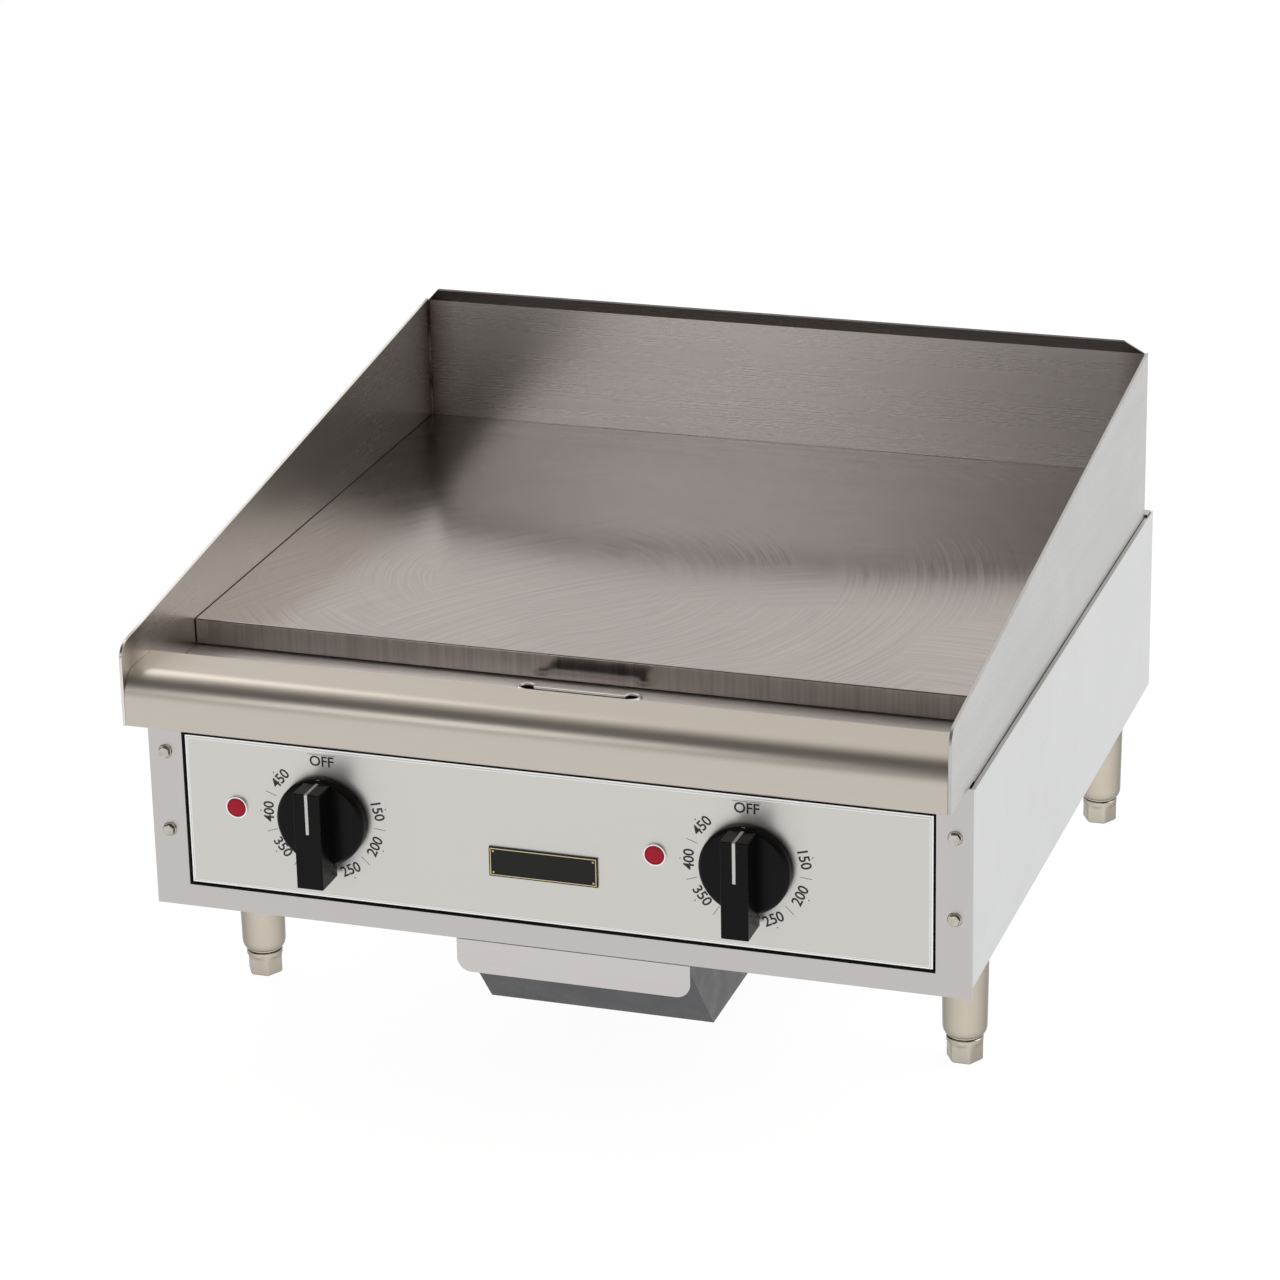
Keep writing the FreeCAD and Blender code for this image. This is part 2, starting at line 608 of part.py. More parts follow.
def heat_shield():
    """Pan that holds the insulation up against the elements, hung from the plate rails."""
    low, rim = 226.5, PLATE_BOTTOM - 1.6
    path = [(-291.5, rim), (-291.5, low), (291.5, low), (291.5, rim)]
    return bent_sheet(path, [BEND, BEND], SHEET, 118, PLATE_REAR - 3, along="y")


def thermostat_bulb(side):
    """Sensing bulb under the plate, and the capillary that runs down to the thermostat."""
    x, y, z = BULB_X[side], 150.0, PLATE_BOTTOM - 4.0
    bulb = rod(3.2, x, y, z, 110, BACKWARD)
    foot_x = KNOB_X[side] + (12 if side == "left" else 4)
    path = [(x, y + 1, z), (x, 108, z), (x, 108, 196), (foot_x, 66, 190), (foot_x, 44, 190)]
    return joined([bulb, pipe(path, 7, 1.0)])


# ---- Supply ----
def terminal_block():
    block = box(170, 230, 500, 540, PAN_TOP, PAN_TOP + 26)
    for k in range(3):
        x = 180 + 20 * k
        block = block.cut(box(x - 7, x + 7, 504, 514, PAN_TOP + 16, PAN_TOP + 30))
        block = block.cut(box(x - 7, x + 7, 526, 536, PAN_TOP + 16, PAN_TOP + 30))
    return block


def ground_lug():
    lug = box(250, 268, 505, 525, PAN_TOP, PAN_TOP + 12)
    return lug.cut(rod(3.5, 259, 500, PAN_TOP + 6, 30, BACKWARD))


def wiring():
    """Fixed leads: block to thermostat, thermostat to element, and element back to the block."""
    leads = []
    for side, x in KNOB_X.items():
        columns = element_columns(side)
        near = columns[-1] if side == "left" else columns[0]
        far = columns[0] if side == "left" else columns[-1]
        shift = 0 if side == "left" else 20
        tip, floor = ELEMENT_Z - 1, PAN_TOP + 3
        block_y, block_z = 500, PAN_TOP + 10
        leads.append(pipe([(x - 8, 44, 170), (x - 8, 80, 170), (x - 8, 80, floor),
                           (175 + shift, 450, floor), (175 + shift, 470, block_z),
                           (175 + shift, block_y, block_z)], 6, WIRE_RADIUS))
        leads.append(pipe([(x + 14, 44, 165), (x + 14, 70, 165), (near, 90, 240), (near, 90, tip),
                           (near, 108, tip)], 5, WIRE_RADIUS))
        leads.append(pipe([(far, 108, tip), (far, 98, tip), (far, 98, floor + 6), (185 + shift, 440, floor + 6),
                           (185 + shift, 480, block_z + 5), (185 + shift, block_y, block_z + 5)],
                          4, WIRE_RADIUS))
    return Part.makeCompound(leads)


# ---- Assembly ----
def build():
    nodes["griddle_plate"] = griddle_plate()
    nodes["splash_right"] = splash_right()
    nodes["splash_left"] = mirrored(nodes["splash_right"])
    nodes["backsplash"] = backsplash()
    nodes["bullnose"] = bullnose()
    nodes["grease_trough"] = grease_trough()
    nodes["drain_chute"] = drain_chute()
    nodes["plate_rails"] = plate_rails()
    nodes["front_frame"] = front_frame()
    nodes["front_brackets"] = front_brackets()
    nodes["frame_screws"] = frame_screws()
    nodes["side_panel_right"] = side_panel()
    nodes["side_panel_left"] = mirrored(nodes["side_panel_right"])
    nodes["rear_panel"] = rear_panel()
    nodes["rear_screws"] = rear_screws()
    nodes["bottom_pan"] = bottom_pan()
    nodes["leg_gussets"] = leg_gussets()
    for name, x, y in leg_places():
        nodes[f"leg_{name}"] = leg(x, y)
        nodes[f"foot_{name}"] = foot(x, y)
    nodes["drawer_pan"] = drawer_pan()
    nodes["drawer_front"] = drawer_front()
    nodes["drawer_rails"] = drawer_rails()
    nodes["control_panel"] = control_panel()
    nodes["panel_clips"] = panel_clips()
    nodes["thermostat_screws"] = thermostat_screws()
    nodes["name_plate"] = name_plate()
    for side, x in KNOB_X.items():
        nodes[f"knob_{side}"] = knob(x)
        nodes[f"thermostat_shaft_{side}"] = thermostat_shaft(x)
        nodes[f"thermostat_{side}"] = thermostat(x)
        nodes[f"thermostat_bulb_{side}"] = thermostat_bulb(side)
        nodes[f"pilot_bezel_{side}"] = pilot_bezel(x + LIGHT_OFFSET)
        nodes[f"pilot_lens_{side}"] = pilot_lens(x + LIGHT_OFFSET)
        nodes[f"pilot_body_{side}"] = pilot_body(x + LIGHT_OFFSET)
        nodes[f"heating_element_{side}"] = heating_element(side)
    nodes["clamp_bars"] = clamp_bars()
    nodes["clamp_studs"] = clamp_studs()
    nodes["clamp_nuts"] = clamp_nuts()
    nodes["insulation_blanket"] = insulation_blanket()
    nodes["heat_shield"] = heat_shield()
    nodes["terminal_block"] = terminal_block()
    nodes["ground_lug"] = ground_lug()
    nodes["wiring"] = wiring()


build()
os.makedirs("parts", exist_ok=True)
for name, shape in nodes.items():
    shape.exportStep(f"parts/{name}.step")
    print(f"{name}: {len(shape.Solids)} solid(s), valid {shape.isValid()}, {shape.Volume / 1000:.1f} cm3")
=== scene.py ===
"""Looks for a countertop griddle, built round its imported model.

Each sub-assembly is a class with its sizes as fields and one method per piece. Lengths are metres.
"""
import logging
import math
from dataclasses import dataclass, field
from enum import Enum
from typing import Callable, Iterable, Sequence

import bmesh
import bpy
from mathutils import Matrix, Vector


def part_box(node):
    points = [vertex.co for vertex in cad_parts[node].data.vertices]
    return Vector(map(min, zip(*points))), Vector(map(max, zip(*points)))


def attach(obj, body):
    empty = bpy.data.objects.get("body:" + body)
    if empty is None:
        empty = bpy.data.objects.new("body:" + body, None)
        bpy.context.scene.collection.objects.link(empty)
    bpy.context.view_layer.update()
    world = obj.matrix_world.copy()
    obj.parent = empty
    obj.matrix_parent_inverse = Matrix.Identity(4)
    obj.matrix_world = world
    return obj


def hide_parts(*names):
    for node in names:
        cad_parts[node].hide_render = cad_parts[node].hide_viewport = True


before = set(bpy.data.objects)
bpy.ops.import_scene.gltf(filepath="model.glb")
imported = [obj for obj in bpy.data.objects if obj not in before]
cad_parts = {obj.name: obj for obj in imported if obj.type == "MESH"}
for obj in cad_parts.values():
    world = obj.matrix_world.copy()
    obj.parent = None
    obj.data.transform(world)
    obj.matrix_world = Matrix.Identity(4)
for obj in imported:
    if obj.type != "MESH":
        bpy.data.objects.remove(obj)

LOG = logging.getLogger("griddle")
MM = 0.001
CORNER = (0.2985, 0.3015)
Point = tuple[float, float]
Colour = tuple[float, float, float]


class Grain(Enum):
    """Which way a sheet is brushed."""

    ACROSS = (1.0, 0.0, 0.0)
    DEPTH = (0.0, 1.0, 0.0)
    UPRIGHT = (0.0, 0.0, 1.0)


class Body(Enum):
    """The rigid bodies that pieces ride on."""

    CHASSIS = "chassis"
    DRAWER = "grease_drawer"
    KNOB_LEFT = "knob_left"
    KNOB_RIGHT = "knob_right"
    FOOT_FRONT_LEFT = "foot_front_left"
    FOOT_FRONT_RIGHT = "foot_front_right"
    FOOT_REAR_LEFT = "foot_rear_left"
    FOOT_REAR_RIGHT = "foot_rear_right"


# ---------------------------------------------------------------- finishes
@dataclass(frozen=True)
class SteelFinish:
    """A brushed or rolled stainless surface.

    Colours are linear. grain_pitch is the spacing of the brush lines and grain_length their length.
    """

    name: str
    light: Colour
    dark: Colour
    roughness: tuple[float, float] = (0.22, 0.28)
    grain_pitch: float = 2.6 * MM
    grain_length: float = 300 * MM
    smudge: float = 0.35
    anisotropy: float = 0.55
    bump: float = 0.002
    heat: float = 0.0


def brushed_steel(finish: SteelFinish) -> bpy.types.Material:
    """Stainless steel with brush lines along the piece's grain, faint bands and hand smudges.

    Args:
        finish: the surface's colours, brush spacing and gloss.

    Returns:
        The material. It reads the UV map "grain", whose U runs along the brushing.
    """
    material = bpy.data.materials.new(finish.name)
    material.use_nodes = True
    nodes = material.node_tree.nodes
    links = material.node_tree.links
    nodes.clear()

    grain_frame = nodes.new("NodeFrame")
    grain_frame.label = "Brush lines"
    grain_uv = nodes.new("ShaderNodeUVMap")
    grain_uv.label = "Along and across the brushing"
    grain_uv.uv_map = "grain"
    fine_scale = nodes.new("ShaderNodeMapping")
    fine_scale.label = "Fine line spacing"
    fine_scale.inputs["Scale"].default_value = (1 / finish.grain_length, 1 / finish.grain_pitch, 1)
    fine_lines = nodes.new("ShaderNodeTexNoise")
    fine_lines.label = "Fine brush lines"
    fine_lines.inputs["Scale"].default_value = 1.0
    fine_lines.inputs["Detail"].default_value = 2.0
    fine_lines.inputs["Roughness"].default_value = 0.6
    band_scale = nodes.new("ShaderNodeMapping")
    band_scale.label = "Band spacing"
    band_scale.inputs["Scale"].default_value = (0.9, 0.13 / finish.grain_pitch, 1)
    bands = nodes.new("ShaderNodeTexNoise")
    bands.label = "Broad rolling bands"
    bands.inputs["Scale"].default_value = 1.0
    bands.inputs["Detail"].default_value = 3.0
    line_mix = nodes.new("ShaderNodeMix")
    line_mix.label = "Lines over bands"
    line_mix.data_type = "FLOAT"
    line_mix.inputs["Factor"].default_value = 0.62
    for node in (grain_uv, fine_scale, fine_lines, band_scale, bands, line_mix):
        node.parent = grain_frame

    wear_frame = nodes.new("NodeFrame")
    wear_frame.label = "Smudges"
    place = nodes.new("ShaderNodeTexCoord")
    place.label = "Place on the object"
    smudges = nodes.new("ShaderNodeTexNoise")
    smudges.label = "Hand smudges"
    smudges.inputs["Scale"].default_value = 9.0
    smudges.inputs["Detail"].default_value = 4.0
    smudges.inputs["Distortion"].default_value = 0.6
    smudge_mix = nodes.new("ShaderNodeMix")
    smudge_mix.label = "Smudges over lines"
    smudge_mix.data_type = "FLOAT"
    smudge_mix.inputs["Factor"].default_value = finish.smudge
    for node in (place, smudges, smudge_mix):
        node.parent = wear_frame

    heat_frame = nodes.new("NodeFrame")
    heat_frame.label = "Heat colour by the welded corners"
    mirrored = nodes.new("ShaderNodeVectorMath")
    mirrored.label = "Both corners as one"
    mirrored.operation = "ABSOLUTE"
    from_corner = nodes.new("ShaderNodeVectorMath")
    from_corner.label = "Distance from the corner, in plan"
    from_corner.operation = "MULTIPLY_ADD"
    from_corner.inputs[1].default_value = (1, 1, 0)
    from_corner.inputs[2].default_value = (-CORNER[0], -CORNER[1], 0)
    reach = nodes.new("ShaderNodeVectorMath")
    reach.label = "Distance"
    reach.operation = "LENGTH"
    fade = nodes.new("ShaderNodeMapRange")
    fade.label = "Fades away from the corner"
    fade.inputs["From Min"].default_value = 3 * MM
    fade.inputs["From Max"].default_value = 22 * MM
    fade.inputs["To Min"].default_value = finish.heat
    fade.inputs["To Max"].default_value = 0.0
    tinted = nodes.new("ShaderNodeMix")
    tinted.label = "Brown over steel"
    tinted.data_type = "RGBA"
    tinted.inputs[7].default_value = (0.15, 0.105, 0.075, 1)
    for node in (mirrored, from_corner, reach, fade, tinted):
        node.parent = heat_frame

    surface_frame = nodes.new("NodeFrame")
    surface_frame.label = "Metal surface"
    colour = nodes.new("ShaderNodeMix")
    colour.label = "Steel colour"
    colour.data_type = "RGBA"
    colour.inputs[6].default_value = (*finish.dark, 1)
    colour.inputs[7].default_value = (*finish.light, 1)
    gloss = nodes.new("ShaderNodeMapRange")
    gloss.label = "Gloss along the lines"
    gloss.inputs["From Min"].default_value = 0.3
    gloss.inputs["From Max"].default_value = 0.7
    gloss.inputs["To Min"].default_value = finish.roughness[0]
    gloss.inputs["To Max"].default_value = finish.roughness[1]
    relief = nodes.new("ShaderNodeBump")
    relief.label = "Brushed relief"
    relief.inputs["Strength"].default_value = finish.bump
    relief.inputs["Distance"].default_value = 0.2 * MM
    tangent = nodes.new("ShaderNodeTangent")
    tangent.label = "Brush direction"
    tangent.direction_type = "UV_MAP"
    tangent.uv_map = "grain"
    metal = nodes.new("ShaderNodeBsdfPrincipled")
    metal.label = "Stainless steel"
    metal.inputs["Metallic"].default_value = 1.0
    metal.inputs["Anisotropic"].default_value = finish.anisotropy
    metal.inputs["Anisotropic Rotation"].default_value = 0.25
    output = nodes.new("ShaderNodeOutputMaterial")
    output.label = "Surface"
    for node in (colour, gloss, relief, tangent, metal, output):
        node.parent = surface_frame

    links.new(grain_uv.outputs["UV"], fine_scale.inputs["Vector"])
    links.new(fine_scale.outputs["Vector"], fine_lines.inputs["Vector"])
    links.new(grain_uv.outputs["UV"], band_scale.inputs["Vector"])
    links.new(band_scale.outputs["Vector"], bands.inputs["Vector"])
    links.new(bands.outputs["Fac"], line_mix.inputs["A"])
    links.new(fine_lines.outputs["Fac"], line_mix.inputs["B"])
    links.new(place.outputs["Object"], smudges.inputs["Vector"])
    links.new(line_mix.outputs["Result"], smudge_mix.inputs["A"])
    links.new(smudges.outputs["Fac"], smudge_mix.inputs["B"])
    links.new(smudge_mix.outputs["Result"], colour.inputs["Factor"])
    links.new(smudge_mix.outputs["Result"], gloss.inputs["Value"])
    links.new(line_mix.outputs["Result"], relief.inputs["Height"])
    links.new(place.outputs["Object"], mirrored.inputs[0])
    links.new(mirrored.outputs["Vector"], from_corner.inputs[0])
    links.new(from_corner.outputs["Vector"], reach.inputs[0])
    links.new(reach.outputs["Value"], fade.inputs["Value"])
    links.new(fade.outputs["Result"], tinted.inputs["Factor"])
    links.new(colour.outputs[2], tinted.inputs[6])
    links.new(tinted.outputs[2], metal.inputs["Base Color"])
    links.new(gloss.outputs["Result"], metal.inputs["Roughness"])
    links.new(relief.outputs["Normal"], metal.inputs["Normal"])
    links.new(tangent.outputs["Tangent"], metal.inputs["Tangent"])
    links.new(metal.outputs["BSDF"], output.inputs["Surface"])
    spread_nodes(material.node_tree)
    return material


def ground_plate_steel(name: str, centres: Sequence[Point], front: float) -> bpy.types.Material:
    """Ground cooking steel: arcs of scratches swept about a few centres, and a milled front edge.

    Args:
        name: the material's name.
        centres: where the grinder's arcs are centred, in x and y.
        front: y of the plate's front face, where the milling marks stand.

    Returns:
        The material, in Object coordinates.
    """
    material = bpy.data.materials.new(name)
    material.use_nodes = True
    nodes = material.node_tree.nodes
    links = material.node_tree.links
    nodes.clear()
    place = nodes.new("ShaderNodeTexCoord")
    place.label = "Place on the plate"

    swirls = []
    for number, (x, y) in enumerate(centres):
        swirl_frame = nodes.new("NodeFrame")
        swirl_frame.label = f"Grinding arcs {number + 1}"
        centred = nodes.new("ShaderNodeMapping")
        centred.label = "Move to the arcs' centre"
        centred.inputs["Location"].default_value = (-x, -y, 0)
        split = nodes.new("ShaderNodeSeparateXYZ")
        split.label = "Across and along"
        angle = nodes.new("ShaderNodeMath")
        angle.label = "Angle round the centre"
        angle.operation = "ARCTAN2"
        distance = nodes.new("ShaderNodeVectorMath")
        distance.label = "Distance from the centre"
        distance.operation = "LENGTH"
        flat = nodes.new("ShaderNodeVectorMath")
        flat.label = "Flatten to the plate"
        flat.operation = "MULTIPLY"
        flat.inputs[1].default_value = (1, 1, 0)
        polar = nodes.new("ShaderNodeCombineXYZ")
        polar.label = "Angle and distance"
        stretch = nodes.new("ShaderNodeMapping")
        stretch.label = "Long thin scratches"
        stretch.inputs["Scale"].default_value = (1.5 + 0.9 * number, 420.0 - 60 * number, 1)
        scratches = nodes.new("ShaderNodeTexNoise")
        scratches.label = "Arc scratches"
        scratches.inputs["Scale"].default_value = 1.0
        scratches.inputs["Detail"].default_value = 4.0
        scratches.inputs["Roughness"].default_value = 0.65
        for node in (centred, split, angle, distance, flat, polar, stretch, scratches):
            node.parent = swirl_frame
        links.new(place.outputs["Object"], centred.inputs["Vector"])
        links.new(centred.outputs["Vector"], flat.inputs[0])
        links.new(flat.outputs["Vector"], distance.inputs[0])
        links.new(centred.outputs["Vector"], split.inputs["Vector"])
        links.new(split.outputs["Y"], angle.inputs[0])
        links.new(split.outputs["X"], angle.inputs[1])
        links.new(angle.outputs["Value"], polar.inputs["X"])
        links.new(distance.outputs["Value"], polar.inputs["Y"])
        links.new(polar.outputs["Vector"], stretch.inputs["Vector"])
        links.new(stretch.outputs["Vector"], scratches.inputs["Vector"])
        swirls.append(scratches)

    blend_frame = nodes.new("NodeFrame")
    blend_frame.label = "Which arcs show where"
    patches = nodes.new("ShaderNodeTexNoise")
    patches.label = "Overlapping passes"
    patches.inputs["Scale"].default_value = 6.5
    patches.inputs["Detail"].default_value = 2.0
    patch_edge = nodes.new("ShaderNodeMapRange")
    patch_edge.label = "Pass edges"
    patch_edge.inputs["From Min"].default_value = 0.44
    patch_edge.inputs["From Max"].default_value = 0.56
    arcs = nodes.new("ShaderNodeMix")
    arcs.label = "First or second arcs"
    arcs.data_type = "FLOAT"
    for node in (patches, patch_edge, arcs):
        node.parent = blend_frame
    links.new(place.outputs["Object"], patches.inputs["Vector"])
    links.new(patches.outputs["Fac"], patch_edge.inputs["Value"])
    links.new(patch_edge.outputs["Result"], arcs.inputs["Factor"])
    links.new(swirls[0].outputs["Fac"], arcs.inputs["A"])
    links.new(swirls[1].outputs["Fac"], arcs.inputs["B"])

    mill_frame = nodes.new("NodeFrame")
    mill_frame.label = "Milled front edge"
    mill_place = nodes.new("ShaderNodeSeparateXYZ")
    mill_place.label = "Depth on the plate"
    at_front = nodes.new("ShaderNodeMath")
    at_front.label = "Only at the front face"
    at_front.operation = "LESS_THAN"
    at_front.inputs[1].default_value = front + 0.4 * MM
    mill_stretch = nodes.new("ShaderNodeMapping")
    mill_stretch.label = "Upright cutter marks"
    mill_stretch.inputs["Scale"].default_value = (330, 1, 12)
    mill_marks = nodes.new("ShaderNodeTexNoise")
    mill_marks.label = "Cutter marks"
    mill_marks.inputs["Scale"].default_value = 1.0
    mill_marks.inputs["Detail"].default_value = 4.0
    texture = nodes.new("ShaderNodeMix")
    texture.label = "Arcs on top, cutter marks in front"
    texture.data_type = "FLOAT"
    for node in (mill_place, at_front, mill_stretch, mill_marks, texture):
        node.parent = mill_frame
    links.new(place.outputs["Object"], mill_place.inputs["Vector"])
    links.new(mill_place.outputs["Y"], at_front.inputs[0])
    links.new(place.outputs["Object"], mill_stretch.inputs["Vector"])
    links.new(mill_stretch.outputs["Vector"], mill_marks.inputs["Vector"])
    links.new(at_front.outputs["Value"], texture.inputs["Factor"])
    links.new(arcs.outputs["Result"], texture.inputs["A"])
    links.new(mill_marks.outputs["Fac"], texture.inputs["B"])

    bow_frame = nodes.new("NodeFrame")
    bow_frame.label = "Slight bow from the heat"
    bow_place = nodes.new("ShaderNodeSeparateXYZ")
    bow_place.label = "Across and along the plate"
    squared = nodes.new("ShaderNodeMath")
    squared.label = "Grows towards the sides"
    squared.operation = "POWER"
    squared.inputs[1].default_value = 2.0
    bow_height = nodes.new("ShaderNodeMath")
    bow_height.label = "Leans back at the sides"
    bow_height.operation = "MULTIPLY"
    bow = nodes.new("ShaderNodeBump")
    bow.label = "Bowed surface"
    bow.inputs["Strength"].default_value = 1.0
    bow.inputs["Distance"].default_value = 0.35
    for node in (bow_place, squared, bow_height, bow):
        node.parent = bow_frame
    links.new(place.outputs["Object"], bow_place.inputs["Vector"])
    links.new(bow_place.outputs["X"], squared.inputs[0])
    links.new(squared.outputs["Value"], bow_height.inputs[0])
    links.new(bow_place.outputs["Y"], bow_height.inputs[1])
    links.new(bow_height.outputs["Value"], bow.inputs["Height"])

    surface_frame = nodes.new("NodeFrame")
    surface_frame.label = "Ground steel surface"
    stains = nodes.new("ShaderNodeTexNoise")
    stains.label = "Faint heat clouds"
    stains.inputs["Scale"].default_value = 3.2
    stains.inputs["Detail"].default_value = 3.0
    tone = nodes.new("ShaderNodeMix")
    tone.label = "Clouds over scratches"
    tone.data_type = "FLOAT"
    tone.inputs["Factor"].default_value = 0.3
    ramp = nodes.new("ShaderNodeValToRGB")
    ramp.label = "Steel colour"
    ramp.color_ramp.elements[0].position = 0.34
    ramp.color_ramp.elements[0].color = (0.335, 0.303, 0.292, 1)
    ramp.color_ramp.elements[1].position = 0.64
    ramp.color_ramp.elements[1].color = (0.455, 0.423, 0.408, 1)
    gloss = nodes.new("ShaderNodeMapRange")
    gloss.label = "Gloss in the scratches"
    gloss.inputs["From Min"].default_value = 0.3
    gloss.inputs["From Max"].default_value = 0.72
    gloss.inputs["To Min"].default_value = 0.15
    gloss.inputs["To Max"].default_value = 0.22
    relief = nodes.new("ShaderNodeBump")
    relief.label = "Scratch relief"
    relief.inputs["Strength"].default_value = 0.02
    relief.inputs["Distance"].default_value = 0.25 * MM
    metal = nodes.new("ShaderNodeBsdfPrincipled")
    metal.label = "Ground steel"
    metal.inputs["Metallic"].default_value = 1.0
    output = nodes.new("ShaderNodeOutputMaterial")
    output.label = "Surface"
    for node in (stains, tone, ramp, gloss, relief, metal, output):
        node.parent = surface_frame
    links.new(place.outputs["Object"], stains.inputs["Vector"])
    links.new(texture.outputs["Result"], tone.inputs["A"])
    links.new(stains.outputs["Fac"], tone.inputs["B"])
    links.new(tone.outputs["Result"], ramp.inputs["Fac"])
    links.new(texture.outputs["Result"], gloss.inputs["Value"])
    links.new(texture.outputs["Result"], relief.inputs["Height"])
    links.new(bow.outputs["Normal"], relief.inputs["Normal"])
    links.new(ramp.outputs["Color"], metal.inputs["Base Color"])
    links.new(gloss.outputs["Result"], metal.inputs["Roughness"])
    links.new(relief.outputs["Normal"], metal.inputs["Normal"])
    links.new(metal.outputs["BSDF"], output.inputs["Surface"])
    spread_nodes(material.node_tree)
    return material


@dataclass(frozen=True)
class SolidFinish:
    """A plated, painted, moulded or fibrous surface with an even, slightly mottled colour, which can be
    darkened as painted shade where it turns edge-on to the view.
    """

    name: str
    light: Colour
    dark: Colour
    roughness: tuple[float, float] = (0.35, 0.5)
    metallic: float = 0.0
    mottle: float = 60.0
    bump: float = 0.1
    relief_depth: float = 0.15 * MM
    coat: float = 0.0
    specular: float = 0.5
    edge_shade: float = 0.0


def mottled_surface(finish: SolidFinish) -> bpy.types.Material:
    """A surface whose colour, gloss and relief follow one mottled pattern, and whose colour can darken as
    painted shade where it turns edge-on to the view.

    Args:
        finish: colours, gloss and grain size.

    Returns:
        The material, in Object coordinates.
    """
    material = bpy.data.materials.new(finish.name)
    material.use_nodes = True
    nodes = material.node_tree.nodes
    links = material.node_tree.links
    nodes.clear()

    pattern_frame = nodes.new("NodeFrame")
    pattern_frame.label = "Mottle"
    place = nodes.new("ShaderNodeTexCoord")
    place.label = "Place on the object"
    coarse = nodes.new("ShaderNodeTexNoise")
    coarse.label = "Coarse mottle"
    coarse.inputs["Scale"].default_value = finish.mottle
    coarse.inputs["Detail"].default_value = 5.0
    fine = nodes.new("ShaderNodeTexNoise")
    fine.label = "Fine grain"
    fine.inputs["Scale"].default_value = finish.mottle * 22
    fine.inputs["Detail"].default_value = 2.0
    both = nodes.new("ShaderNodeMix")
    both.label = "Grain over mottle"
    both.data_type = "FLOAT"
    both.inputs["Factor"].default_value = 0.4
    for node in (place, coarse, fine, both):
        node.parent = pattern_frame

    surface_frame = nodes.new("NodeFrame")
    surface_frame.label = "Surface"
    colour = nodes.new("ShaderNodeMix")
    colour.label = "Surface colour"
    colour.data_type = "RGBA"
    colour.inputs[6].default_value = (*finish.dark, 1)
    colour.inputs[7].default_value = (*finish.light, 1)
    gloss = nodes.new("ShaderNodeMapRange")
    gloss.label = "Uneven gloss"
    gloss.inputs["From Min"].default_value = 0.3
    gloss.inputs["From Max"].default_value = 0.7
    gloss.inputs["To Min"].default_value = finish.roughness[0]
    gloss.inputs["To Max"].default_value = finish.roughness[1]
    # Painted shade: the colour darkens towards a deep tone where the surface turns edge-on to the view.
    facing = nodes.new("ShaderNodeLayerWeight")
    facing.label = "How edge-on the surface is"
    facing.inputs["Blend"].default_value = 0.42
    shade = nodes.new("ShaderNodeMapRange")
    shade.label = "Darker towards the sides"
    shade.inputs["From Min"].default_value = 0.06
    shade.inputs["From Max"].default_value = 0.62
    shade.inputs["To Min"].default_value = 0.0
    shade.inputs["To Max"].default_value = finish.edge_shade
    shaded = nodes.new("ShaderNodeMix")
    shaded.label = "Shade over colour"
    shaded.data_type = "RGBA"
    shaded.inputs[7].default_value = (*(0.3 * c for c in finish.dark), 1)
    relief = nodes.new("ShaderNodeBump")
    relief.label = "Fine relief"
    relief.inputs["Strength"].default_value = finish.bump
    relief.inputs["Distance"].default_value = finish.relief_depth
    skin = nodes.new("ShaderNodeBsdfPrincipled")
    skin.label = "Skin"
    skin.inputs["Metallic"].default_value = finish.metallic
    skin.inputs["Coat Weight"].default_value = finish.coat
    skin.inputs["Coat Roughness"].default_value = 0.08
    skin.inputs["Specular IOR Level"].default_value = finish.specular
    output = nodes.new("ShaderNodeOutputMaterial")
    output.label = "Output"
    for node in (colour, gloss, facing, shade, shaded, relief, skin, output):
        node.parent = surface_frame

    links.new(place.outputs["Object"], coarse.inputs["Vector"])
    links.new(place.outputs["Object"], fine.inputs["Vector"])
    links.new(coarse.outputs["Fac"], both.inputs["A"])
    links.new(fine.outputs["Fac"], both.inputs["B"])
    links.new(both.outputs["Result"], colour.inputs["Factor"])
    links.new(both.outputs["Result"], gloss.inputs["Value"])
    links.new(both.outputs["Result"], relief.inputs["Height"])
    links.new(facing.outputs["Facing"], shade.inputs["Value"])
    links.new(shade.outputs["Result"], shaded.inputs["Factor"])
    links.new(colour.outputs[2], shaded.inputs[6])
    links.new(shaded.outputs[2], skin.inputs["Base Color"])
    links.new(gloss.outputs["Result"], skin.inputs["Roughness"])
    links.new(relief.outputs["Normal"], skin.inputs["Normal"])
    links.new(skin.outputs["BSDF"], output.inputs["Surface"])
    spread_nodes(material.node_tree)
    return material


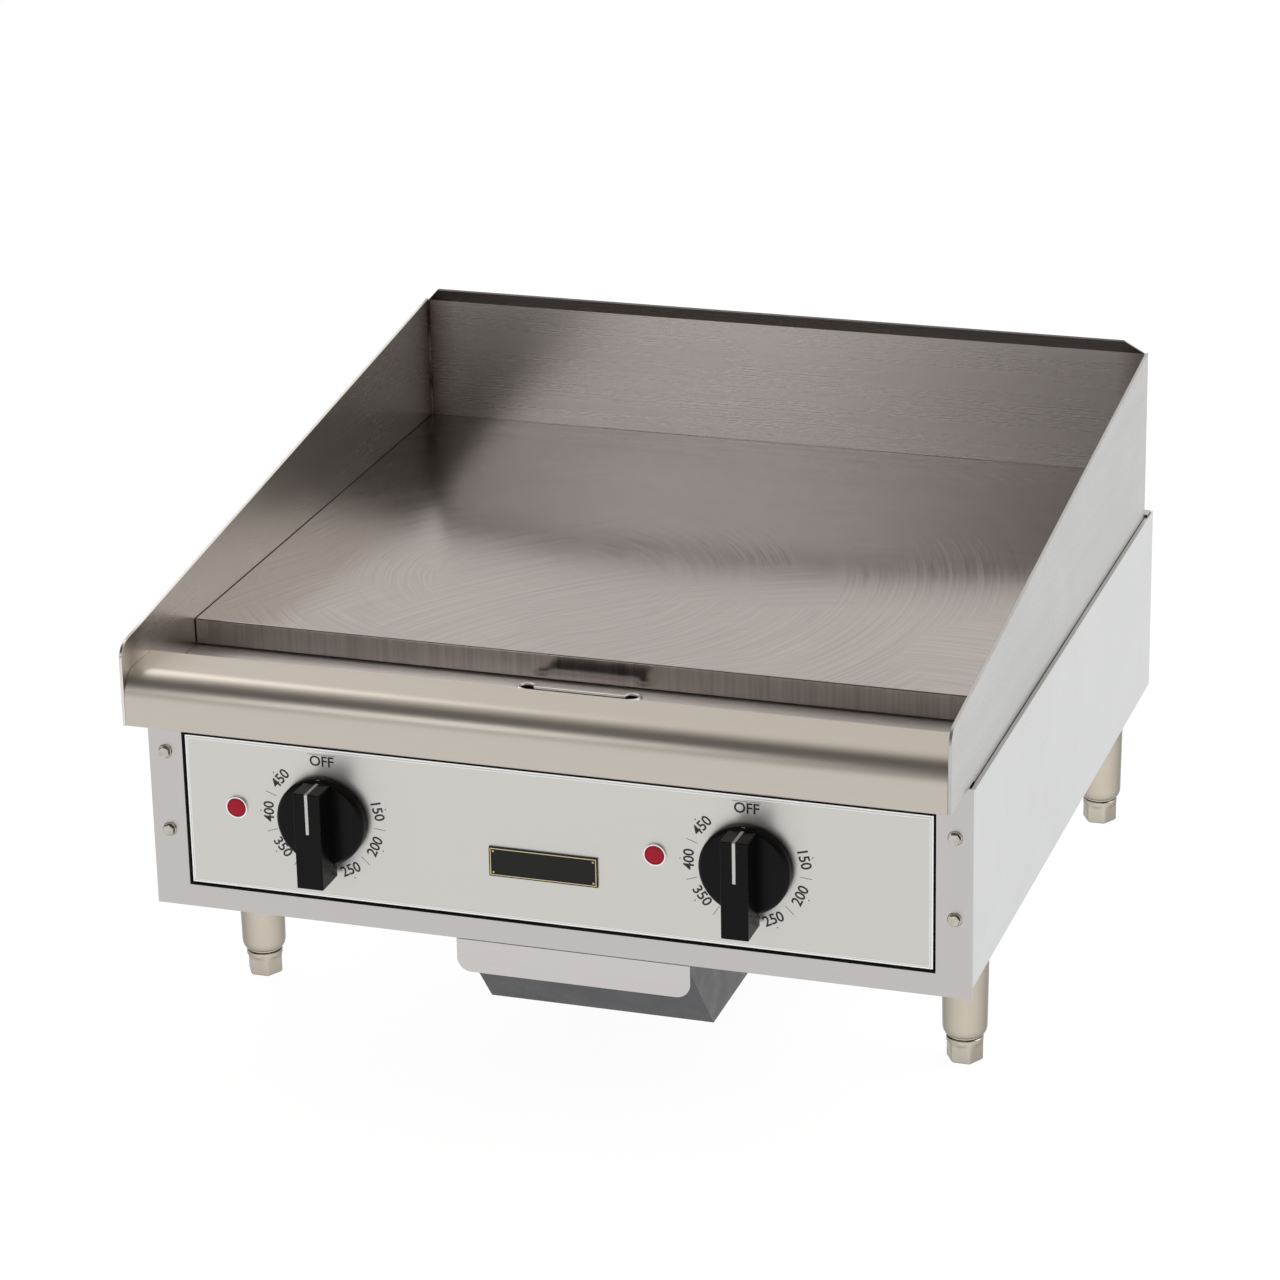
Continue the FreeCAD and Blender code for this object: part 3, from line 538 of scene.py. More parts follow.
def weld_steel(name: str) -> bpy.types.Material:
    """Weld metal with brown and straw heat colours along the seam.

    Args:
        name: the material's name.

    Returns:
        The new material.
    """
    material = bpy.data.materials.new(name)
    material.use_nodes = True
    nodes = material.node_tree.nodes
    links = material.node_tree.links
    nodes.clear()
    tint_frame = nodes.new("NodeFrame")
    tint_frame.label = "Heat colours"
    place = nodes.new("ShaderNodeTexCoord")
    place.label = "Place on the object"
    heat = nodes.new("ShaderNodeTexNoise")
    heat.label = "Uneven heat"
    heat.inputs["Scale"].default_value = 55.0
    heat.inputs["Detail"].default_value = 4.0
    tints = nodes.new("ShaderNodeValToRGB")
    tints.label = "Grey through straw to brown"
    tints.color_ramp.elements[0].position = 0.32
    tints.color_ramp.elements[0].color = (0.05, 0.035, 0.03, 1)
    tints.color_ramp.elements[1].position = 0.72
    tints.color_ramp.elements[1].color = (0.34, 0.31, 0.28, 1)
    straw = tints.color_ramp.elements.new(0.5)
    straw.color = (0.20, 0.13, 0.085, 1)
    for node in (place, heat, tints):
        node.parent = tint_frame
    metal = nodes.new("ShaderNodeBsdfPrincipled")
    metal.label = "Weld metal"
    metal.inputs["Metallic"].default_value = 0.85
    metal.inputs["Roughness"].default_value = 0.42
    output = nodes.new("ShaderNodeOutputMaterial")
    output.label = "Surface"
    metal_frame = nodes.new("NodeFrame")
    metal_frame.label = "Weld metal surface"
    for node in (metal, output):
        node.parent = metal_frame
    links.new(place.outputs["Object"], heat.inputs["Vector"])
    links.new(heat.outputs["Fac"], tints.inputs["Fac"])
    links.new(tints.outputs["Color"], metal.inputs["Base Color"])
    links.new(metal.outputs["BSDF"], output.inputs["Surface"])
    spread_nodes(material.node_tree)
    return material


def spread_nodes(tree: bpy.types.NodeTree) -> None:
    """Sets the nodes out in rows of six so that the graph can be read."""
    for number, node in enumerate(n for n in tree.nodes if n.bl_idname != "NodeFrame"):
        node.location = (240 * (number % 6), -320 * (number // 6))


class Finishes:
    """Every finish on the griddle, made once."""

    def __init__(self) -> None:
        """Builds the materials."""
        plate_low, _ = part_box("griddle_plate")
        self.plate = ground_plate_steel("ground_plate_steel", ((-0.09, -0.04), (0.24, -0.36)),
                                        plate_low.y)
        # The left splash's steel is made lighter and warmer than the backsplash's, which is the same sheet:
        # painted light on its inner face.
        self.splash = brushed_steel(SteelFinish(
            "splash_steel", (0.86, 0.825, 0.775), (0.72, 0.69, 0.65), (0.24, 0.29), smudge=0.4,
            heat=0.55))
        self.splash_mill = brushed_steel(SteelFinish(
            "mill_splash_steel", (0.72, 0.72, 0.71), (0.24, 0.24, 0.235), (0.30, 0.44),
            grain_pitch=2.0 * MM, grain_length=5 * MM, smudge=0.35, anisotropy=0.2, bump=0.05))
        self.back = brushed_steel(SteelFinish(
            "backsplash_steel", (0.575, 0.546, 0.529), (0.535, 0.507, 0.491), (0.26, 0.29),
            grain_pitch=3.0 * MM, smudge=0.2, heat=0.6))
        self.deck = brushed_steel(SteelFinish(
            "deck_steel", (0.575, 0.534, 0.478), (0.505, 0.467, 0.418), (0.27, 0.34), smudge=0.2))
        # Gutter steel, the deck's sheet made far lighter: painted light on the gutter floor.
        self.gutter = brushed_steel(SteelFinish(
            "lit_gutter_steel", (0.95, 0.91, 0.88), (0.80, 0.76, 0.735), (0.40, 0.48), smudge=0.3))
        self.body = brushed_steel(SteelFinish(
            "body_steel", (0.59, 0.569, 0.561), (0.50, 0.481, 0.473), (0.28, 0.36), smudge=0.25))
        self.side = brushed_steel(SteelFinish(
            "side_steel", (0.68, 0.685, 0.69), (0.46, 0.465, 0.47), (0.26, 0.34), smudge=0.88))
        self.fascia = brushed_steel(SteelFinish(
            "fascia_steel", (0.67, 0.664, 0.632), (0.61, 0.604, 0.573), (0.34, 0.40),
            grain_pitch=2.0 * MM, smudge=0.15))
        # Near-white steel for the fascia's edge ring and the lamp rings: painted highlight, partly real
        # chrome on the lamp rings.
        self.rim = brushed_steel(SteelFinish(
            "painted_highlight_steel", (0.97, 0.97, 0.96), (0.88, 0.88, 0.87), (0.34, 0.42), anisotropy=0.0,
            smudge=0.15))
        self.drawer_front = brushed_steel(SteelFinish(
            "drawer_front_steel", (0.66, 0.63, 0.62), (0.54, 0.515, 0.505), (0.26, 0.34)))
        self.zinc = mottled_surface(SolidFinish(
            "zinc_sheet", (0.50, 0.51, 0.52), (0.36, 0.37, 0.38), (0.35, 0.5), metallic=1.0, mottle=45))
        self.blued = mottled_surface(SolidFinish(
            "blued_pan_steel", (0.052, 0.053, 0.058), (0.027, 0.028, 0.031), (0.30, 0.46),
            metallic=0.75, mottle=42, bump=0.5, relief_depth=0.9 * MM))
        # Leg plating with painted shade on its sides that turn edge-on.
        self.nickel = mottled_surface(SolidFinish(
            "nickel_plate", (0.66, 0.60, 0.505), (0.52, 0.47, 0.39), (0.20, 0.30), metallic=1.0,
            mottle=60, bump=0.05, edge_shade=0.9))
        # Screw steel with painted shade on edge-on sides; its wide light-to-dark mottle paints bright and
        # dark reflections on the facets.
        self.bright = mottled_surface(SolidFinish(
            "bright_screw_steel", (0.90, 0.86, 0.78), (0.22, 0.20, 0.17), (0.10, 0.18), metallic=1.0,
            mottle=150, bump=0.03, edge_shade=1.0))
        self.phenolic = mottled_surface(SolidFinish(
            "knob_phenolic", (0.0045, 0.004, 0.004), (0.0025, 0.0022, 0.0022), (0.24, 0.32), mottle=120,
            bump=0.02, specular=0.12))
        self.paint_white = mottled_surface(SolidFinish(
            "pointer_paint", (0.83, 0.82, 0.80), (0.72, 0.71, 0.69), (0.35, 0.45), mottle=300))
        self.ink = mottled_surface(SolidFinish(
            "dial_ink", (0.020, 0.019, 0.018), (0.012, 0.011, 0.010), (0.45, 0.55), mottle=300))
        self.lens = mottled_surface(SolidFinish(
            "red_lens", (0.56, 0.004, 0.036), (0.40, 0.003, 0.022), (0.2, 0.3), mottle=220, coat=0.1,
            specular=0.15))
        # Near-white metal for the drain slot's rolled rim: partly a real rolled rim, partly painted
        # highlight.
        self.slot_rim_highlight = mottled_surface(SolidFinish(
            "slot_rim_highlight_metal", (0.96, 0.95, 0.93), (0.88, 0.87, 0.85), (0.34, 0.42), metallic=1.0,
            mottle=200, bump=0.02))
        self.black = mottled_surface(SolidFinish(
            "black_plastic", (0.03, 0.03, 0.032), (0.018, 0.018, 0.02), (0.5, 0.65), mottle=90))
        self.plate_black = mottled_surface(SolidFinish(
            "name_plate_black", (0.010, 0.008, 0.007), (0.005, 0.005, 0.004), (0.3, 0.4), mottle=90,
            specular=0.25))
        self.gold = mottled_surface(SolidFinish(
            "name_plate_border", (0.80, 0.70, 0.46), (0.55, 0.44, 0.24), (0.25, 0.35), metallic=0.9,
            mottle=160))
        self.copper = mottled_surface(SolidFinish(
            "capillary_copper", (0.60, 0.31, 0.20), (0.40, 0.19, 0.12), (0.3, 0.45), metallic=1.0,
            mottle=120))
        self.sheath = mottled_surface(SolidFinish(
            "element_sheath", (0.075, 0.078, 0.068), (0.035, 0.036, 0.03), (0.45, 0.6), metallic=0.5,
            mottle=70))
        self.wool = mottled_surface(SolidFinish(
            "mineral_wool", (0.62, 0.57, 0.42), (0.40, 0.36, 0.25), (0.85, 0.95), mottle=90, bump=0.9,
            relief_depth=2 * MM))
        self.sleeving = mottled_surface(SolidFinish(
            "wire_sleeving", (0.50, 0.47, 0.40), (0.36, 0.33, 0.27), (0.7, 0.85), mottle=400, bump=0.4))
        self.weld = weld_steel("weld_seam_steel")


# ---------------------------------------------------------------- mesh helpers
def rounded_path(points: Sequence[Point], radii: Sequence[float], steps: int) -> list[Point]:
    """Points along an open path whose inner corners are rounded.

    Args:
        points: the path's corners.
        radii: one radius for each inner corner.
        steps: flat steps in each arc.

    Returns:
        The path with each corner replaced by points on its tangent arc.
    """
    path = [points[0]]
    for before, corner, after, radius in zip(points, points[1:], points[2:], radii):
        here = Vector(corner)
        back = (Vector(before) - here).normalized()
        ahead = (Vector(after) - here).normalized()
        half = back.angle(ahead) / 2
        centre = here + (back + ahead).normalized() * (radius / math.sin(half))
        start = here + back * (radius / math.tan(half)) - centre
        turn = math.pi - 2 * half
        if back.x * ahead.y - back.y * ahead.x > 0:
            turn = -turn
        for step in range(steps + 1):
            spoke = Matrix.Rotation(turn * step / steps, 2) @ start
            path.append((centre.x + spoke.x, centre.y + spoke.y))
    path.append(points[-1])
    return path


def offset_path(points: Sequence[Point], thickness: float) -> list[Point]:
    """The path moved to its left by a thickness, with mitred corners.

    Args:
        points: the path's corners.
        thickness: how far it moves, negative for its right.

    Returns:
        The moved path.
    """
    normals = []
    for a, b in zip(points, points[1:]):
        run = (Vector(b) - Vector(a)).normalized()
        normals.append(Vector((-run.y, run.x)))
    moved = [Vector(points[0]) + normals[0] * thickness]
    for point, first, second in zip(points[1:], normals, normals[1:]):
        moved.append(Vector(point) + (first + second) * (thickness / (1 + first.dot(second))))
    moved.append(Vector(points[-1]) + normals[-1] * thickness)
    return [(p.x, p.y) for p in moved]


def folded_outline(points: Sequence[Point], radii: Sequence[float], thickness: float,
                   steps: int) -> list[Point]:
    """Closed section of a folded sheet whose metal lies to the left of a path of outer faces.

    Args:
        points: corners of the outer faces.
        radii: radius of each bend, measured on that path.
        thickness: the sheet's thickness.
        steps: steps round each bend.

    Returns:
        The closed section.
    """
    inner_radii = []
    for a, b, c, radius in zip(points, points[1:], points[2:], radii):
        left_turn = (b[0] - a[0]) * (c[1] - b[1]) - (b[1] - a[1]) * (c[0] - b[0]) > 0
        inner_radii.append(max(radius - thickness, 0.0002) if left_turn else radius + thickness)
    outer = rounded_path(points, radii, steps)
    inner = rounded_path(offset_path(points, thickness), inner_radii, steps)
    return outer + inner[::-1]


def extruded(outline: Sequence[Point], low: float, high: float,
             place: Callable[[float, float, float], Vector],
             ) -> bmesh.types.BMesh:
    """A prism over a closed outline.

    Args:
        outline: the section's points.
        low: where the prism starts along its length.
        high: where it ends.
        place: turns (length, a, b) into a point of the model.

    Returns:
        A closed mesh with outward faces.
    """
    mesh = bmesh.new()
    rings = [[mesh.verts.new(place(level, a, b)) for a, b in outline] for level in (low, high)]
    count = len(outline)
    for k in range(count):
        mesh.faces.new((rings[0][k], rings[0][(k + 1) % count], rings[1][(k + 1) % count], rings[1][k]))
    mesh.faces.new(rings[0][::-1])
    mesh.faces.new(rings[1])
    bmesh.ops.recalc_face_normals(mesh, faces=mesh.faces)
    return mesh


def along_x(level: float, a: float, b: float) -> Vector:
    """A section drawn in (y, z), swept along x."""
    return Vector((level, a, b))


def along_y(level: float, a: float, b: float) -> Vector:
    """A section drawn in (x, z), swept along y."""
    return Vector((a, level, b))


def lofted(rings: Sequence[Sequence[Vector]]) -> bmesh.types.BMesh:
    """A closed skin through rings of equal point count, with flat ends.

    Args:
        rings: the rings, from one end to the other.

    Returns:
        The new mesh.
    """
    mesh = bmesh.new()
    made = [[mesh.verts.new(p) for p in ring] for ring in rings]
    count = len(rings[0])
    for lower, upper in zip(made, made[1:]):
        for k in range(count):
            mesh.faces.new((lower[k], lower[(k + 1) % count], upper[(k + 1) % count], upper[k]))
    mesh.faces.new(made[0][::-1])
    mesh.faces.new(made[-1])
    bmesh.ops.recalc_face_normals(mesh, faces=mesh.faces)
    return mesh


def turned(profile: Sequence[Point], centre: Vector, axis: Vector, sides: int) -> bmesh.types.BMesh:
    """A turned solid.

    Args:
        profile: (radius, distance along the axis) from one end to the other.
        centre: the axis point that distances are counted from.
        axis: unit direction of the axis.
        sides: flat sides round the axis.

    Returns:
        A closed mesh with outward faces.
    """
    across = axis.orthogonal().normalized()
    other = axis.cross(across)
    rings = []
    for radius, distance in profile:
        ring = []
        for k in range(sides):
            angle = 2 * math.pi * k / sides
            spoke = across * math.cos(angle) + other * math.sin(angle)
            ring.append(centre + axis * distance + spoke * radius)
        rings.append(ring)
    return lofted(rings)


def ring_solid(outer: float, inner: float, profile: Sequence[Point], centre: Vector, axis: Vector,
               sides: int) -> bmesh.types.BMesh:
    """A washer-like ring whose section is given as fractions of its width.

    Args:
        outer: outside radius.
        inner: inside radius.
        profile: closed section, as (0 to 1 from inside to outside, distance along the axis).
        centre: the ring's centre.
        axis: unit direction of the axis.
        sides: flat sides round the axis.

    Returns:
        A closed ring.
    """
    across = axis.orthogonal().normalized()
    other = axis.cross(across)
    mesh = bmesh.new()
    rings = []
    for k in range(sides):
        angle = 2 * math.pi * k / sides
        spoke = across * math.cos(angle) + other * math.sin(angle)
        rings.append([mesh.verts.new(centre + spoke * (inner + (outer - inner) * a) + axis * b)
                      for a, b in profile])
    count = len(profile)
    for k in range(sides):
        near, far = rings[k], rings[(k + 1) % sides]
        for j in range(count):
            mesh.faces.new((near[j], near[(j + 1) % count], far[(j + 1) % count], far[j]))
    bmesh.ops.recalc_face_normals(mesh, faces=mesh.faces)
    return mesh


def mitred_ring(low: Point, high: Point, width: float, back: float, outer_front: float,
                inner_front: float) -> bmesh.types.BMesh:
    """A rectangular ring that faces -Y, with mitred corners and a flat or sloping front.

    Args:
        low: its outer corner with the least x and z.
        high: its outer corner with the greatest x and z.
        width: the ring's width.
        back: y of its back.
        outer_front: y of its front at the outer edge.
        inner_front: y of its front at the inner edge.

    Returns:
        A closed ring.
    """
    mesh = bmesh.new()
    loops = []
    for inset, y in ((0.0, back), (0.0, outer_front), (width, inner_front), (width, back)):
        left, right = low[0] + inset, high[0] - inset
        bottom, top = low[1] + inset, high[1] - inset
        corners = ((left, bottom), (right, bottom), (right, top), (left, top))
        loops.append([mesh.verts.new((x, y, z)) for x, z in corners])
    for near, far in zip(loops, loops[1:] + loops[:1]):
        for k in range(4):
            mesh.faces.new((near[k], near[(k + 1) % 4], far[(k + 1) % 4], far[k]))
    bmesh.ops.recalc_face_normals(mesh, faces=mesh.faces)
    return mesh


def lay_grain(mesh: bmesh.types.BMesh, grain: Grain) -> None:
    """Writes the UV map "grain": U along the brushing and V across it, both in metres.

    Args:
        mesh: the mesh to write on.
        grain: which way it is brushed.
    """
    layer = mesh.loops.layers.uv.new("grain")
    direction = Vector(grain.value)
    fallback = Vector((0, 0, 1)) if grain is not Grain.UPRIGHT else Vector((1, 0, 0))
    for face in mesh.faces:
        normal = face.normal
        along = direction - normal * normal.dot(direction)
        if along.length < 0.25:
            along = fallback - normal * normal.dot(fallback)
        along.normalize()
        across = normal.cross(along)
        for loop in face.loops:
            loop[layer].uv = (loop.vert.co.dot(along), loop.vert.co.dot(across))


def sharpen(mesh: bmesh.types.BMesh, limit: float) -> None:
    """Smooth faces everywhere, with edges sharper than the limit kept crisp.

    Args:
        mesh: the mesh to shade.
        limit: angle in radians above which an edge is kept crisp.
    """
    for face in mesh.faces:
        face.smooth = True
    for edge in mesh.edges:
        edge.smooth = len(edge.link_faces) == 2 and edge.calc_face_angle(0.0) < limit


class Bench:
    """Where pieces are made: turns meshes into named pieces that ride on a body."""

    sharp_angle: float = math.radians(32)

    def piece(self, name: str, mesh: bmesh.types.BMesh, body: Body, slot: str,
              finish: bpy.types.Material,
              grain: Grain = Grain.ACROSS, edge: float = 0.0,
              replaces: Iterable[str] = ()) -> bpy.types.Object:
        """Makes a piece from a finished mesh.

        Args:
            name: the piece's name.
            mesh: its shape, in place. It is freed.
            body: the body it rides on.
            slot: the record's material slot. It is not used.
            finish: its material.
            grain: which way it is brushed.
            edge: width of the rounding on its edges, or 0 for none.
            replaces: the nodes it stands for.

        Returns:
            The new object.
        """
        lay_grain(mesh, grain)
        sharpen(mesh, self.sharp_angle)
        data = bpy.data.meshes.new(name)
        mesh.to_mesh(data)
        mesh.free()
        data.materials.append(finish)
        made = bpy.data.objects.new(name, data)
        bpy.context.collection.objects.link(made)
        if edge:
            bevel = made.modifiers.new("rounded_edges", "BEVEL")
            bevel.width = edge
            bevel.segments = 2
            bevel.limit_method = "ANGLE"
            bevel.angle_limit = self.sharp_angle
            bevel.harden_normals = True
        return self.settle(made, body, replaces)

    def settle(self, made: bpy.types.Object, body: Body,
               replaces: Iterable[str]) -> bpy.types.Object:
        """Gives a made object its body and the nodes it stands for.

        Args:
            made: the object.
            body: the body it rides on.
            replaces: the nodes it stands for.

        Returns:
            The same object.
        """
        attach(made, body.value)
        for node in replaces:
            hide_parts(node)
        LOG.info("made %s on %s", made.name, body.value)
        return made

    def softened(self, node: str, body: Body, slot: str, finish: bpy.types.Material,
                 grain: Grain = Grain.ACROSS,
                 edge: float = 0.25 * MM, name: str = "") -> bpy.types.Object:
        """A copy of a node with merged faces and rounded sheet edges, which stands for it.

        Args:
            node: the node to copy.
            body: the body it rides on.
            slot: the record's material slot. It is not used.
            finish: its material.
            grain: which way it is brushed.
            edge: width of the rounding on its edges.
            name: the piece's name, or empty for one made from the node's.

        Returns:
            The new object.
        """
        mesh = bmesh.new()
        mesh.from_mesh(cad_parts[node].data)
        bmesh.ops.remove_doubles(mesh, verts=mesh.verts, dist=0.002 * MM)
        bmesh.ops.dissolve_limit(mesh, angle_limit=math.radians(0.2), verts=mesh.verts, edges=mesh.edges)
        return self.piece(name or f"{node}_sheet", mesh, body, slot, finish, grain, edge, (node,))

    def dressed(self, node: str, slot: str, finish: bpy.types.Material) -> None:
        """Gives a node that keeps its own shape a better finish.

        Args:
            node: the node.
            slot: the record's material slot. It is not used.
            finish: its material.
        """
        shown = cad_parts[node]
        for place in shown.material_slots:
            place.material = finish
        LOG.info("dressed %s", node)

    def grown(self, name: str, seed: bpy.types.Mesh, tree: bpy.types.NodeTree, values: dict[str, object],
              body: Body,
              slot: str, replaces: Iterable[str] = (), edge: float = 0.0) -> bpy.types.Object:
        """Runs a geometry tree on a seed mesh and keeps the result as a plain piece.

        Args:
            name: the piece's name.
            seed: the mesh that the tree starts from.
            tree: the geometry tree.
            values: its inputs, by name.
            body: the body it rides on.
            slot: the record's material slot. It is not used.
            replaces: the nodes it stands for.
            edge: width of the rounding on its edges, or 0 for none.

        Returns:
            The new object.
        """
        carrier = bpy.data.objects.new(f"{name}_carrier", seed)
        bpy.context.collection.objects.link(carrier)
        modifier = carrier.modifiers.new("grow", "NODES")
        modifier.node_group = tree
        sockets = {item.name: item.identifier
                   for item in tree.interface.items_tree if item.in_out == "INPUT"}
        for label, value in values.items():
            modifier[sockets[label]] = value
        bpy.context.view_layer.update()
        evaluated = carrier.evaluated_get(bpy.context.evaluated_depsgraph_get())
        data = bpy.data.meshes.new_from_object(evaluated)
        data.name = name
        carrier.modifiers.remove(modifier)
        bpy.data.objects.remove(carrier)
        made = bpy.data.objects.new(name, data)
        bpy.context.collection.objects.link(made)
        if edge:
            bevel = made.modifiers.new("rounded_edges", "BEVEL")
            bevel.width = edge
            bevel.segments = 2
            bevel.limit_method = "ANGLE"
            bevel.angle_limit = self.sharp_angle
        return self.settle(made, body, replaces)


def seed_points(name: str, points: Sequence[Vector], joined: bool = False) -> bpy.types.Mesh:
    """A mesh of loose points, or of points joined in a line.

    Args:
        name: the mesh's name.
        points: where the points are.
        joined: whether each is joined to the next.

    Returns:
        The new mesh.
    """
    data = bpy.data.meshes.new(name)
    edges = [(k, k + 1) for k in range(len(points) - 1)] if joined else []
    data.from_pydata([tuple(p) for p in points], edges, [])
    return data


# ---------------------------------------------------------------- geometry trees
def hex_screw_tree(finish: bpy.types.Material) -> bpy.types.NodeTree:
    """Hex washer-head screws that face -Y, one at each seed point, each turned its own way.

    Args:
        finish: the screws' material.

    Returns:
        The geometry tree.
    """
    tree = bpy.data.node_groups.new("hex_washer_screws", "GeometryNodeTree")
    face = tree.interface
    sockets = {"Geometry": "Geometry", "Across flats": "Float", "Head height": "Float",
               "Washer radius": "Float", "Washer height": "Float", "Seed": "Int"}
    for label, kind in sockets.items():
        face.new_socket(label, in_out="INPUT", socket_type=f"NodeSocket{kind}")
    face.new_socket("Geometry", in_out="OUTPUT", socket_type="NodeSocketGeometry")
    nodes, links = tree.nodes, tree.links

    given = nodes.new("NodeGroupInput")
    given.label = "Sizes"
    head_frame = nodes.new("NodeFrame")
    head_frame.label = "Hexagon head"
    corner = nodes.new("ShaderNodeMath")
    corner.label = "Corner radius"
    corner.operation = "DIVIDE"
    corner.inputs[1].default_value = math.sqrt(3)
    crown = nodes.new("ShaderNodeMath")
    crown.label = "Crown radius"
    crown.operation = "MULTIPLY"
    crown.inputs[1].default_value = 0.93
    head = nodes.new("GeometryNodeMeshCone")
    head.label = "Head"
    head.inputs["Vertices"].default_value = 6
    lift_height = nodes.new("ShaderNodeCombineXYZ")
    lift_height.label = "Head on its washer"
    lift = nodes.new("GeometryNodeTransform")
    lift.label = "Lift the head"
    for node in (corner, crown, head, lift_height, lift):
        node.parent = head_frame

    washer_frame = nodes.new("NodeFrame")
    washer_frame.label = "Washer flange"
    rim = nodes.new("ShaderNodeMath")
    rim.label = "Bevelled rim"
    rim.operation = "MULTIPLY"
    rim.inputs[1].default_value = 0.88
    washer = nodes.new("GeometryNodeMeshCone")
    washer.label = "Washer"
    washer.inputs["Vertices"].default_value = 28
    screw = nodes.new("GeometryNodeJoinGeometry")
    screw.label = "One screw"
    for node in (rim, washer, screw):
        node.parent = washer_frame

    set_frame = nodes.new("NodeFrame")
    set_frame.label = "Set on the sheet"
    turn = nodes.new("FunctionNodeRandomValue")
    turn.label = "How far each was tightened"
    turn.data_type = "FLOAT"
    turn.inputs[3].default_value = math.pi / 3
    facing = nodes.new("ShaderNodeCombineXYZ")
    facing.label = "Face forward"
    facing.inputs["X"].default_value = math.pi / 2
    placed = nodes.new("GeometryNodeInstanceOnPoints")
    placed.label = "A screw at each hole"
    real = nodes.new("GeometryNodeRealizeInstances")
    real.label = "Real meshes"
    coat = nodes.new("GeometryNodeSetMaterial")
    coat.label = "Screw steel"
    coat.inputs["Material"].default_value = finish
    result = nodes.new("NodeGroupOutput")
    result.label = "Finished shape"
    for node in (turn, facing, placed, real, coat, result):
        node.parent = set_frame

    links.new(given.outputs["Across flats"], corner.inputs[0])
    links.new(corner.outputs["Value"], crown.inputs[0])
    links.new(corner.outputs["Value"], head.inputs["Radius Bottom"])
    links.new(crown.outputs["Value"], head.inputs["Radius Top"])
    links.new(given.outputs["Head height"], head.inputs["Depth"])
    links.new(given.outputs["Washer height"], lift_height.inputs["Z"])
    links.new(head.outputs["Mesh"], lift.inputs["Geometry"])
    links.new(lift_height.outputs["Vector"], lift.inputs["Translation"])
    links.new(given.outputs["Washer radius"], rim.inputs[0])
    links.new(given.outputs["Washer radius"], washer.inputs["Radius Bottom"])
    links.new(rim.outputs["Value"], washer.inputs["Radius Top"])
    links.new(given.outputs["Washer height"], washer.inputs["Depth"])
    links.new(washer.outputs["Mesh"], screw.inputs["Geometry"])
    links.new(lift.outputs["Geometry"], screw.inputs["Geometry"])
    links.new(given.outputs["Seed"], turn.inputs["Seed"])
    links.new(turn.outputs[1], facing.inputs["Y"])
    links.new(given.outputs["Geometry"], placed.inputs["Points"])
    links.new(screw.outputs["Geometry"], placed.inputs["Instance"])
    links.new(facing.outputs["Vector"], placed.inputs["Rotation"])
    links.new(placed.outputs["Instances"], real.inputs["Geometry"])
    links.new(real.outputs["Geometry"], coat.inputs["Geometry"])
    links.new(coat.outputs["Geometry"], result.inputs["Geometry"])
    spread_nodes(tree)
    return tree


